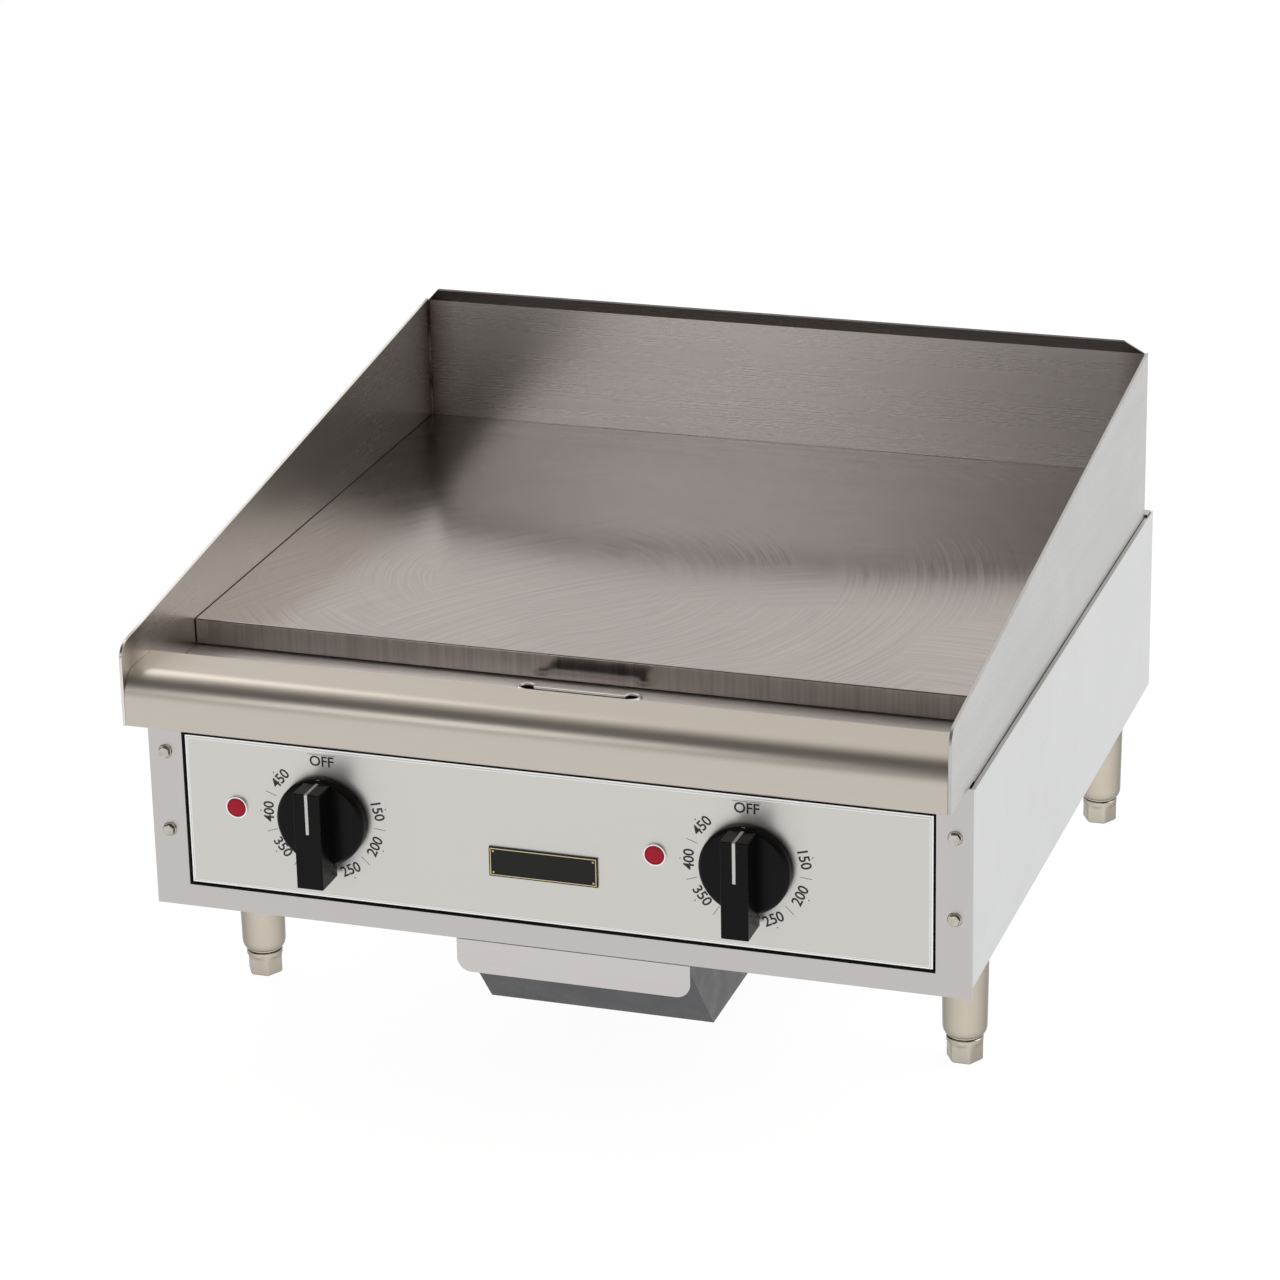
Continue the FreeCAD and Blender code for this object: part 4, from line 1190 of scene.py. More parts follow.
def mark_ring_tree(finish: bpy.types.Material) -> bpy.types.NodeTree:
    """Marks printed at equal steps round a knob, on a fascia that faces -Y.

    Args:
        finish: the marks' material.

    Returns:
        The geometry tree.
    """
    tree = bpy.data.node_groups.new("dial_marks", "GeometryNodeTree")
    face = tree.interface
    sockets = {"Geometry": "Geometry", "Centre": "Vector", "Radius": "Float", "First angle": "Float",
               "Step": "Float", "Count": "Int", "Size": "Vector", "Round": "Bool"}
    for label, kind in sockets.items():
        face.new_socket(label, in_out="INPUT", socket_type=f"NodeSocket{kind}")
    face.new_socket("Geometry", in_out="OUTPUT", socket_type="NodeSocketGeometry")
    nodes, links = tree.nodes, tree.links

    given = nodes.new("NodeGroupInput")
    given.label = "Sizes"
    ring_frame = nodes.new("NodeFrame")
    ring_frame.label = "Places round the knob"
    line = nodes.new("GeometryNodeMeshLine")
    line.label = "One point a mark"
    index = nodes.new("GeometryNodeInputIndex")
    index.label = "Mark number"
    angle = nodes.new("ShaderNodeMath")
    angle.label = "Angle from the top"
    angle.operation = "MULTIPLY_ADD"
    across = nodes.new("ShaderNodeMath")
    across.label = "Sine"
    across.operation = "SINE"
    upward = nodes.new("ShaderNodeMath")
    upward.label = "Cosine"
    upward.operation = "COSINE"
    spoke = nodes.new("ShaderNodeCombineXYZ")
    spoke.label = "Spoke"
    reach = nodes.new("ShaderNodeVectorMath")
    reach.label = "Out to the ring"
    reach.operation = "SCALE"
    place = nodes.new("ShaderNodeVectorMath")
    place.label = "From the knob's centre"
    place.operation = "ADD"
    moved = nodes.new("GeometryNodeSetPosition")
    moved.label = "Points on the ring"
    for node in (line, index, angle, across, upward, spoke, reach, place, moved):
        node.parent = ring_frame

    mark_frame = nodes.new("NodeFrame")
    mark_frame.label = "The mark"
    bar = nodes.new("GeometryNodeMeshCube")
    bar.label = "Tick"
    size = nodes.new("ShaderNodeSeparateXYZ")
    size.label = "Mark size"
    dot = nodes.new("GeometryNodeMeshCylinder")
    dot.label = "Dot"
    dot.inputs["Vertices"].default_value = 14
    laid = nodes.new("GeometryNodeTransform")
    laid.label = "Dot laid on the fascia"
    laid.inputs["Rotation"].default_value = (math.pi / 2, 0, 0)
    choice = nodes.new("GeometryNodeSwitch")
    choice.label = "Tick or dot"
    choice.input_type = "GEOMETRY"
    lean = nodes.new("ShaderNodeCombineXYZ")
    lean.label = "Lean along the spoke"
    printed = nodes.new("GeometryNodeInstanceOnPoints")
    printed.label = "Print the marks"
    real = nodes.new("GeometryNodeRealizeInstances")
    real.label = "Real meshes"
    coat = nodes.new("GeometryNodeSetMaterial")
    coat.label = "Ink"
    coat.inputs["Material"].default_value = finish
    result = nodes.new("NodeGroupOutput")
    result.label = "Finished shape"
    for node in (bar, size, dot, laid, choice, lean, printed, real, coat, result):
        node.parent = mark_frame

    links.new(given.outputs["Count"], line.inputs["Count"])
    links.new(index.outputs["Index"], angle.inputs[0])
    links.new(given.outputs["Step"], angle.inputs[1])
    links.new(given.outputs["First angle"], angle.inputs[2])
    links.new(angle.outputs["Value"], across.inputs[0])
    links.new(angle.outputs["Value"], upward.inputs[0])
    links.new(across.outputs["Value"], spoke.inputs["X"])
    links.new(upward.outputs["Value"], spoke.inputs["Z"])
    links.new(spoke.outputs["Vector"], reach.inputs[0])
    links.new(given.outputs["Radius"], reach.inputs["Scale"])
    links.new(reach.outputs["Vector"], place.inputs[0])
    links.new(given.outputs["Centre"], place.inputs[1])
    links.new(line.outputs["Mesh"], moved.inputs["Geometry"])
    links.new(place.outputs["Vector"], moved.inputs["Position"])
    links.new(given.outputs["Size"], bar.inputs["Size"])
    links.new(given.outputs["Size"], size.inputs["Vector"])
    links.new(size.outputs["X"], dot.inputs["Radius"])
    links.new(size.outputs["Y"], dot.inputs["Depth"])
    links.new(dot.outputs["Mesh"], laid.inputs["Geometry"])
    links.new(given.outputs["Round"], choice.inputs["Switch"])
    links.new(bar.outputs["Mesh"], choice.inputs["False"])
    links.new(laid.outputs["Geometry"], choice.inputs["True"])
    links.new(angle.outputs["Value"], lean.inputs["Y"])
    links.new(moved.outputs["Geometry"], printed.inputs["Points"])
    links.new(choice.outputs["Output"], printed.inputs["Instance"])
    links.new(lean.outputs["Vector"], printed.inputs["Rotation"])
    links.new(printed.outputs["Instances"], real.inputs["Geometry"])
    links.new(real.outputs["Geometry"], coat.inputs["Geometry"])
    links.new(coat.outputs["Geometry"], result.inputs["Geometry"])
    spread_nodes(tree)
    return tree


def bead_tree(name: str, finish: bpy.types.Material) -> bpy.types.NodeTree:
    """A round bar along a line of points: a rippled weld bead, or a smooth bent tube.

    Args:
        name: the tree's name.
        finish: the bar's material.

    Returns:
        The geometry tree.
    """
    tree = bpy.data.node_groups.new(name, "GeometryNodeTree")
    face = tree.interface
    sockets = {"Geometry": "Geometry", "Radius": "Float", "Bend": "Float", "Spacing": "Float",
               "Ripple": "Float", "Seed": "Int"}
    for label, kind in sockets.items():
        face.new_socket(label, in_out="INPUT", socket_type=f"NodeSocket{kind}")
    face.new_socket("Geometry", in_out="OUTPUT", socket_type="NodeSocketGeometry")
    nodes, links = tree.nodes, tree.links

    given = nodes.new("NodeGroupInput")
    given.label = "Sizes"
    path_frame = nodes.new("NodeFrame")
    path_frame.label = "The path"
    path = nodes.new("GeometryNodeMeshToCurve")
    path.label = "Line of points"
    bends = nodes.new("GeometryNodeFilletCurve")
    bends.label = "Bent corners"
    bends.mode = "POLY"
    bends.inputs["Count"].default_value = 10
    bends.inputs["Limit Radius"].default_value = True
    even = nodes.new("GeometryNodeResampleCurve")
    even.label = "Even steps"
    even.mode = "LENGTH"
    for node in (path, bends, even):
        node.parent = path_frame

    bead_frame = nodes.new("NodeFrame")
    bead_frame.label = "The bead"
    swell = nodes.new("FunctionNodeRandomValue")
    swell.label = "Uneven swell"
    swell.data_type = "FLOAT"
    low = nodes.new("ShaderNodeMath")
    low.label = "Thinnest"
    low.operation = "SUBTRACT"
    low.inputs[0].default_value = 1.0
    high = nodes.new("ShaderNodeMath")
    high.label = "Thickest"
    high.operation = "ADD"
    high.inputs[0].default_value = 1.0
    girth = nodes.new("GeometryNodeSetCurveRadius")
    girth.label = "Bead girth"
    circle = nodes.new("GeometryNodeCurvePrimitiveCircle")
    circle.label = "Bead section"
    circle.inputs["Resolution"].default_value = 10
    skin = nodes.new("GeometryNodeCurveToMesh")
    skin.label = "Skin"
    skin.inputs["Fill Caps"].default_value = True
    real = nodes.new("GeometryNodeRealizeInstances")
    real.label = "Real mesh"
    coat = nodes.new("GeometryNodeSetMaterial")
    coat.label = "Finish"
    coat.inputs["Material"].default_value = finish
    result = nodes.new("NodeGroupOutput")
    result.label = "Finished shape"
    for node in (swell, low, high, girth, circle, skin, real, coat, result):
        node.parent = bead_frame

    links.new(given.outputs["Geometry"], path.inputs["Mesh"])
    links.new(path.outputs["Curve"], bends.inputs["Curve"])
    links.new(given.outputs["Bend"], bends.inputs["Radius"])
    links.new(bends.outputs["Curve"], even.inputs["Curve"])
    links.new(given.outputs["Spacing"], even.inputs["Length"])
    links.new(given.outputs["Ripple"], low.inputs[1])
    links.new(given.outputs["Ripple"], high.inputs[1])
    links.new(low.outputs["Value"], swell.inputs[2])
    links.new(high.outputs["Value"], swell.inputs[3])
    links.new(given.outputs["Seed"], swell.inputs["Seed"])
    links.new(even.outputs["Curve"], girth.inputs["Curve"])
    links.new(swell.outputs[1], girth.inputs["Radius"])
    links.new(given.outputs["Radius"], circle.inputs["Radius"])
    links.new(girth.outputs["Curve"], skin.inputs["Curve"])
    links.new(circle.outputs["Curve"], skin.inputs["Profile Curve"])
    links.new(skin.outputs["Mesh"], real.inputs["Geometry"])
    links.new(real.outputs["Geometry"], coat.inputs["Geometry"])
    links.new(coat.outputs["Geometry"], result.inputs["Geometry"])
    spread_nodes(tree)
    return tree


# ---------------------------------------------------------------- sub-assemblies
@dataclass
class CookingTop:
    """The plate, its three welded splashes and the weld seams."""

    bench: Bench
    finishes: Finishes
    weld_radius: float = 1.1 * MM

    def build(self) -> None:
        """Makes every piece of the cooking top."""
        self.plate()
        self.splashes()
        self.backsplash()
        self.welds()

    def plate(self) -> None:
        """The thick plate, with a small worn chamfer round its top."""
        self.bench.softened("griddle_plate", Body.CHASSIS, "ground_steel_plate", self.finishes.plate,
                            edge=0.35 * MM, name="griddle_plate_slab")

    def splashes(self) -> None:
        """The tapered side splashes, brushed along their length."""
        for side, finish in (("left", self.finishes.splash), ("right", self.finishes.splash_mill)):
            self.bench.softened(f"splash_{side}", Body.CHASSIS, "splash_stainless", finish, Grain.DEPTH,
                                edge=0.5 * MM)

    def backsplash(self) -> None:
        """The rear splash with its mitred, forward-leaning lip."""
        self.bench.softened("backsplash", Body.CHASSIS, "splash_stainless", self.finishes.back,
                            edge=0.3 * MM)

    def welds(self) -> None:
        """A thin bead up each rear corner."""
        tree = bead_tree("weld_bead", self.finishes.weld)
        plate_low, plate_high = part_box("griddle_plate")
        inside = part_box("splash_right")[0].x
        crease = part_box("splash_right")[1].z
        for side, sign in (("left", -1), ("right", 1)):
            corner = [Vector((sign * (inside - 0.1 * MM), plate_high.y - 0.2 * MM, z))
                      for z in (plate_high.z, crease - 1 * MM)]
            seed = seed_points(f"corner_weld_{side}_seed", corner, joined=True)
            values = {"Radius": self.weld_radius, "Bend": 0.0, "Spacing": 1.6 * MM, "Ripple": 0.3,
                      "Seed": 3}
            self.bench.grown(f"corner_weld_{side}", seed, tree, values, Body.CHASSIS, "splash_stainless")


@dataclass
class FrontDeck:
    """The bullnose deck, the grease gutter and the chute below its drain slot."""

    bench: Bench
    finishes: Finishes
    sheet: float = 1.5 * MM
    nose_radius: float = 19 * MM
    fold_radius: float = 2 * MM
    arc_steps: int = 28
    slot_x: Point = (-36.5 * MM, 41.5 * MM)
    slot_y: Point = (-241 * MM, -209 * MM)
    relief: float = 6.2 * MM
    relief_steps: int = 24
    rim_radius: float = 1.6 * MM
    gutter_floor: float = 274.3 * MM

    def build(self) -> None:
        """Makes every piece of the front deck."""
        self.bullnose()
        self.gutter()
        self.bench.softened("drain_chute", Body.CHASSIS, "deck_stainless", self.finishes.deck,
                            Grain.UPRIGHT)

    def bullnose(self) -> None:
        """Deck landing, rounded nose, front face and rear flange, folded from one sheet."""
        low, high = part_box("bullnose")
        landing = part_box("front_frame")[0].y + self.sheet
        path = [(landing, high.z), (low.y, high.z), (low.y, low.z), (high.y, low.z)]
        outline = folded_outline(path, (self.nose_radius, self.fold_radius), self.sheet, self.arc_steps)
        mesh = extruded(outline, low.x, high.x, along_x)
        self.bench.piece("bullnose_deck", mesh, Body.CHASSIS, "deck_stainless", self.finishes.deck,
                         edge=0.3 * MM, replaces=("bullnose",))

    def gutter(self) -> None:
        """Gutter sheet, lightened past the deck's steel as painted light, with its relieved drain slot and
        a near-white rolled rim round the slot that is partly painted highlight.
        """
        self.bench.softened("grease_trough", Body.CHASSIS, "deck_stainless", self.finishes.gutter,
                            name="grease_gutter", edge=0.4 * MM)
        # The rolled rim round the slot, made near-white as painted highlight.
        tree = bead_tree("rolled_rim_highlight", self.finishes.slot_rim_highlight)
        left, right = self.slot_x
        near, far = self.slot_y
        level = self.gutter_floor + 0.2 * MM
        points = [Vector((left, near, level))]
        for x, start in ((left, 270), (right, 180)):
            for step in range(self.relief_steps + 1):
                angle = math.radians(start - 270 * step / self.relief_steps)
                points.append(Vector((x + self.relief * math.cos(angle),
                                      far + self.relief * math.sin(angle), level)))
        points.append(Vector((right, near, level)))
        values = {"Radius": self.rim_radius, "Bend": 0.0, "Spacing": 1.0 * MM, "Ripple": 0.0, "Seed": 1}
        self.bench.grown("drain_slot_rim_highlight", seed_points("slot_rim_seed", points, joined=True), tree,
                         values,
                         Body.CHASSIS, "deck_stainless")


@dataclass
class Casing:
    """The front frame, side skins, rear cover, floor and their screws."""

    bench: Bench
    finishes: Finishes
    screw_across: float = 8 * MM
    screw_head: float = 2.6 * MM
    screw_washer: float = 5.4 * MM
    screw_flange: float = 0.9 * MM

    def build(self) -> None:
        """Makes every piece of the casing."""
        self.bench.softened("front_frame", Body.CHASSIS, "body_stainless", self.finishes.body)
        for side in ("left", "right"):
            self.bench.softened(f"side_panel_{side}", Body.CHASSIS, "body_stainless", self.finishes.side,
                                Grain.DEPTH)
        self.bench.softened("rear_panel", Body.CHASSIS, "body_stainless", self.finishes.body)
        self.screws()
        for node in ("bottom_pan", "leg_gussets", "front_brackets", "plate_rails", "drawer_rails",
                     "heat_shield",
                     "clamp_bars"):
            self.bench.dressed(node, "galvanised_inner", self.finishes.zinc)
        self.bench.dressed("rear_screws", "screw_steel", self.finishes.bright)

    def screws(self) -> None:
        """Four hex washer-head screws through the front frame."""
        low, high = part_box("frame_screws")
        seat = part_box("front_frame")[0].y
        inset_x = self.screw_washer + 0.04 * MM
        xs = (low.x + inset_x, high.x - inset_x)
        zs = (low.z + inset_x, high.z - inset_x)
        holes = [Vector((x, seat, z)) for x in xs for z in zs]
        values = {"Across flats": self.screw_across, "Head height": self.screw_head,
                  "Washer radius": self.screw_washer, "Washer height": self.screw_flange, "Seed": 11}
        self.bench.grown("frame_screw_heads", seed_points("frame_screw_seed", holes),
                         hex_screw_tree(self.finishes.bright), values, Body.CHASSIS, "screw_steel",
                         replaces=("frame_screws",), edge=0.25 * MM)


@dataclass
class Dial:
    """One thermostat control: its knob, pointer, printed scale and pilot lamp."""

    bench: Bench
    finishes: Finishes
    side: str
    body: Body
    marks: bpy.types.NodeTree
    skirt_radius: float = 33 * MM
    skirt_depth: float = 8 * MM
    rim: float = 2.2 * MM
    grip_width: float = 20 * MM
    grip_depth: float = 21.5 * MM
    grip_top: float = 31.4 * MM
    grip_bottom: float = -42 * MM
    label_radius: float = 42.2 * MM
    label_size: float = 11.0 * MM
    first_label: float = 75.5
    label_step: float = 39.1
    labels: tuple[str, ...] = ("150", "200", "250", "300", "350", "400", "450")
    centre: Vector = field(init=False)

    def __post_init__(self) -> None:
        """Finds the knob's axis from the shaft."""
        low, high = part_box(f"thermostat_shaft_{self.side}")
        knob_low, knob_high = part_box(f"knob_{self.side}")
        self.centre = Vector(((low.x + high.x) / 2, knob_high.y, knob_high.z - self.skirt_radius))

    def build(self) -> None:
        """Makes every piece of the control."""
        self.skirt()
        self.grip()
        self.pointer()
        self.scale()
        self.lamp()

    def skirt(self) -> None:
        """Round skirt with a bevelled rim."""
        depth, radius, rim = self.skirt_depth, self.skirt_radius, self.rim
        profile = [(radius - 1.0 * MM, 0), (radius, 0.8 * MM), (radius, depth - rim),
                   (radius - 0.5 * MM, depth - rim + 0.8 * MM),
                   (radius - rim + 0.3 * MM, depth - 0.15 * MM), (radius - rim - 0.5 * MM, depth)]
        mesh = turned(profile, self.centre, Vector((0, -1, 0)), 96)
        self.bench.piece(f"knob_{self.side}_skirt", mesh, self.body, "knob_phenolic",
                         self.finishes.phenolic,
                         edge=0.25 * MM, replaces=(f"knob_{self.side}",))

    def grip(self) -> None:
        """Bar grip that stands on the skirt and runs past its foot."""
        x, y, z = self.centre
        front = y - self.skirt_depth
        outline = [(front - self.grip_depth, z + self.grip_bottom), (y - 1.5 * MM, z + self.grip_bottom),
                   (y - 1.5 * MM, z - 31.2 * MM), (front + 0.1 * MM, z - 31.2 * MM),
                   (front + 0.1 * MM, z + self.grip_top - 0.6 * MM),
                   (front - self.grip_depth, z + self.grip_top)]
        half = self.grip_width / 2
        mesh = extruded(outline, x - half, x + half, along_x)
        self.bench.piece(f"knob_{self.side}_grip", mesh, self.body, "knob_phenolic",
                         self.finishes.phenolic,
                         edge=0.7 * MM)

    def pointer(self) -> None:
        """White line up the front of the grip, over its top and across the skirt."""
        x, y, z = self.centre
        front = y - self.skirt_depth
        tip = front - self.grip_depth
        lift = 0.06 * MM
        path = [(tip - lift, z + 0.5 * MM), (tip - lift, z + self.grip_top + lift),
                (front - lift, z + self.grip_top - 0.5 * MM + lift),
                (front - lift, z + self.skirt_radius - self.rim),
                (front + self.rim, z + self.skirt_radius + lift)]
        radii = (0.9 * MM, 0.3 * MM, 0.05 * MM)
        outline = folded_outline(path, radii, -0.12 * MM, 5)
        half = 1.15 * MM
        mesh = extruded(outline, x - half, x + half, along_x)
        self.bench.piece(f"knob_{self.side}_pointer", mesh, self.body, "knob_phenolic",
                         self.finishes.paint_white)

    def print_text(self, words: str, at: Vector, lean: float, size: float) -> bmesh.types.BMesh:
        """One printed word on the fascia, centred at a point and turned clockwise by an angle.

        Args:
            words: what it says.
            at: its centre.
            lean: the angle, in radians.
            size: letter size.

        Returns:
            The word as a mesh, in place.
        """
        curve = bpy.data.curves.new("print", "FONT")
        curve.body = words
        curve.size = size
        curve.align_x = "CENTER"
        curve.align_y = "CENTER"
        curve.space_character = 0.98
        curve.offset = 0.017 * size
        curve.extrude = 0.03 * MM
        curve.resolution_u = 4
        carrier = bpy.data.objects.new("print_carrier", curve)
        bpy.context.collection.objects.link(carrier)
        bpy.context.view_layer.update()
        data = bpy.data.meshes.new_from_object(carrier.evaluated_get(bpy.context.evaluated_depsgraph_get()))
        bpy.data.objects.remove(carrier)
        condense = Matrix.Diagonal((0.98, 1.0, 1.0, 1.0))
        upright = Matrix.Rotation(math.pi / 2, 4, "X")
        turn = Matrix.Rotation(lean, 4, "Y")
        data.transform(Matrix.Translation(at) @ turn @ upright @ condense)
        mesh = bmesh.new()
        mesh.from_mesh(data)
        bmesh.ops.remove_doubles(mesh, verts=mesh.verts, dist=0.001 * MM)
        bpy.data.meshes.remove(data)
        return mesh

    def scale(self) -> None:
        """Printed numbers, ticks, dots and the line above OFF."""
        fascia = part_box("control_panel")[0].y - 0.03 * MM
        centre = Vector((self.centre.x, fascia, self.centre.z))
        top = centre + Vector((0, 0, self.label_radius + 1.5 * MM))
        words = self.print_text("OFF", top, 0.0, self.label_size)
        for number, label in enumerate(self.labels):
            angle = math.radians(self.first_label + self.label_step * number)
            at = centre + Vector((math.sin(angle), 0, math.cos(angle))) * self.label_radius
            lean = angle if math.cos(angle) > -0.2 else angle + math.pi
            more = self.print_text(label, at, lean, self.label_size)
            holder = bpy.data.meshes.new("print_part")
            more.to_mesh(holder)
            more.free()
            words.from_mesh(holder)
            bpy.data.meshes.remove(holder)
        self.bench.piece(f"dial_print_{self.side}", words, Body.CHASSIS, "fascia_satin",
                         self.finishes.ink)

        step = math.radians(self.label_step)
        first = math.radians(self.first_label)
        rings = {
            "ticks": {"Radius": self.label_radius + 0.4 * MM, "First angle": first + step / 2,
                      "Count": 6,
                      "Size": (0.35 * MM, 0.06 * MM, 8.5 * MM), "Round": False},
            "dots": {"Radius": self.label_radius + 6.6 * MM, "First angle": first, "Count": 7,
                     "Size": (0.5 * MM, 0.06 * MM, 0.5 * MM), "Round": True},
            "off_line": {"Radius": self.label_radius + 6.8 * MM, "First angle": 0.0, "Count": 1,
                         "Size": (21 * MM, 0.06 * MM, 0.3 * MM), "Round": False},
        }
        for ring, sizes in rings.items():
            seed = seed_points(f"dial_{ring}_seed_{self.side}", [Vector()])
            values = {"Centre": tuple(centre), "Step": step, **sizes}
            self.bench.grown(f"dial_{ring}_{self.side}", seed, self.marks, values, Body.CHASSIS,
                             "fascia_satin")

    def lamp(self) -> None:
        """Pilot lamp: a ring round a shallow domed red lens, near-white as partly real chrome and partly
        painted highlight.
        """
        low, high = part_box(f"pilot_bezel_{self.side}")
        centre = Vector(((low.x + high.x) / 2, high.y, (low.z + high.z) / 2))
        outward = Vector((0, -1, 0))
        section = [(0, 0), (1, 0), (1, 1.3 * MM), (0.86, 1.85 * MM), (0.2, 1.95 * MM), (0, 1.6 * MM)]
        ring = ring_solid((high.x - low.x) / 2, 7.1 * MM, section, centre, outward, 64)
        self.bench.piece(f"pilot_ring_{self.side}", ring, Body.CHASSIS, "bezel_chrome",
                         self.finishes.rim,
                         replaces=(f"pilot_bezel_{self.side}",))
        dome = [(7.0 * MM, 0), (7.0 * MM, 1.0 * MM), (6.4 * MM, 1.35 * MM), (4.6 * MM, 1.6 * MM),
                (2.4 * MM, 1.72 * MM), (0.4 * MM, 1.76 * MM)]
        lens = turned(dome, centre, outward, 48)
        self.bench.piece(f"pilot_glass_{self.side}", lens, Body.CHASSIS, "lens_red", self.finishes.lens,
                         replaces=(f"pilot_lens_{self.side}",))
        self.bench.dressed(f"pilot_body_{self.side}", "black_plastic", self.finishes.black)
        self.bench.dressed(f"thermostat_{self.side}", "thermostat_casing", self.finishes.zinc)
        self.bench.dressed(f"thermostat_shaft_{self.side}", "screw_steel", self.finishes.bright)
        self.bench.dressed(f"thermostat_bulb_{self.side}", "copper_bulb", self.finishes.copper)


@dataclass
class Fascia:
    """The satin control panel with a near-white ring round it as painted highlight, its blank name plate
    and both dials.
    """

    bench: Bench
    finishes: Finishes
    edge_width: float = 2.4 * MM
    edge_roll: float = 1.1 * MM
    pin_inset: float = 3.2 * MM
    pin_radius: float = 0.75 * MM

    def build(self) -> None:
        """Makes the fascia and everything on it."""
        self.bench.softened("control_panel", Body.CHASSIS, "fascia_satin", self.finishes.fascia,
                            edge=0.4 * MM)
        low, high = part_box("control_panel")
        # Near-white ring round the panel's rolled edge: painted highlight.
        edge = mitred_ring((low.x - self.edge_roll, low.z - self.edge_roll),
                           (high.x + self.edge_roll, high.z + self.edge_roll), self.edge_width,
                           low.y + 0.75 * MM, low.y + 0.5 * MM,
                           low.y - 0.1 * MM)
        self.bench.piece("fascia_edge_highlight", edge, Body.CHASSIS, "fascia_satin", self.finishes.rim)
        self.bench.dressed("thermostat_screws", "screw_steel", self.finishes.bright)
        self.bench.dressed("panel_clips", "black_plastic", self.finishes.black)
        self.name_plate()
        marks = mark_ring_tree(self.finishes.ink)
        for side, body in (("left", Body.KNOB_LEFT), ("right", Body.KNOB_RIGHT)):
            Dial(self.bench, self.finishes, side, body, marks).build()

    def name_plate(self) -> None:
        """Blank black plate with a thin raised border."""
        low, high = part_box("name_plate")
        self.bench.softened("name_plate", Body.CHASSIS, "plate_black", self.finishes.plate_black,
                            name="name_plate_ground", edge=0.3 * MM)
        inset, width = 0.9 * MM, 0.6 * MM
        front = low.y - 0.06 * MM
        mesh = mitred_ring((low.x + inset, low.z + inset), (high.x - inset, high.z - inset), width,
                           low.y + 0.3 * MM, front, front)
        for x in (low.x + self.pin_inset, high.x - self.pin_inset):
            for z in (low.z + self.pin_inset, high.z - self.pin_inset):
                profile = [(self.pin_radius, 0), (self.pin_radius, 0.6 * MM),
                           (0.5 * self.pin_radius, 0.8 * MM)]
                pin = turned(profile, Vector((x, low.y + 0.6 * MM, z)), Vector((0, -1, 0)), 20)
                holder = bpy.data.meshes.new("pin_part")
                pin.to_mesh(holder)
                pin.free()
                mesh.from_mesh(holder)
                bpy.data.meshes.remove(holder)
        self.bench.piece("name_plate_border", mesh, Body.CHASSIS, "plate_black", self.finishes.gold)


@dataclass
class GreaseDrawer:
    """The drawer's bright front and dark pan."""

    bench: Bench
    finishes: Finishes
    corner: float = 10.5 * MM

    def build(self) -> None:
        """Makes the drawer."""
        low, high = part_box("drawer_front")
        path = [(low.x, high.z), (low.x, low.z), (high.x, low.z), (high.x, high.z)]
        outline = rounded_path(path, (self.corner, self.corner), 14)
        mesh = extruded(outline, low.y, high.y, along_y)
        self.bench.piece("drawer_front_plate", mesh, Body.DRAWER, "drawer_front_stainless",
                         self.finishes.drawer_front, edge=0.35 * MM, replaces=("drawer_front",))
        self.bench.softened("drawer_pan", Body.DRAWER, "drawer_blued_steel", self.finishes.blued,
                            edge=0.5 * MM)


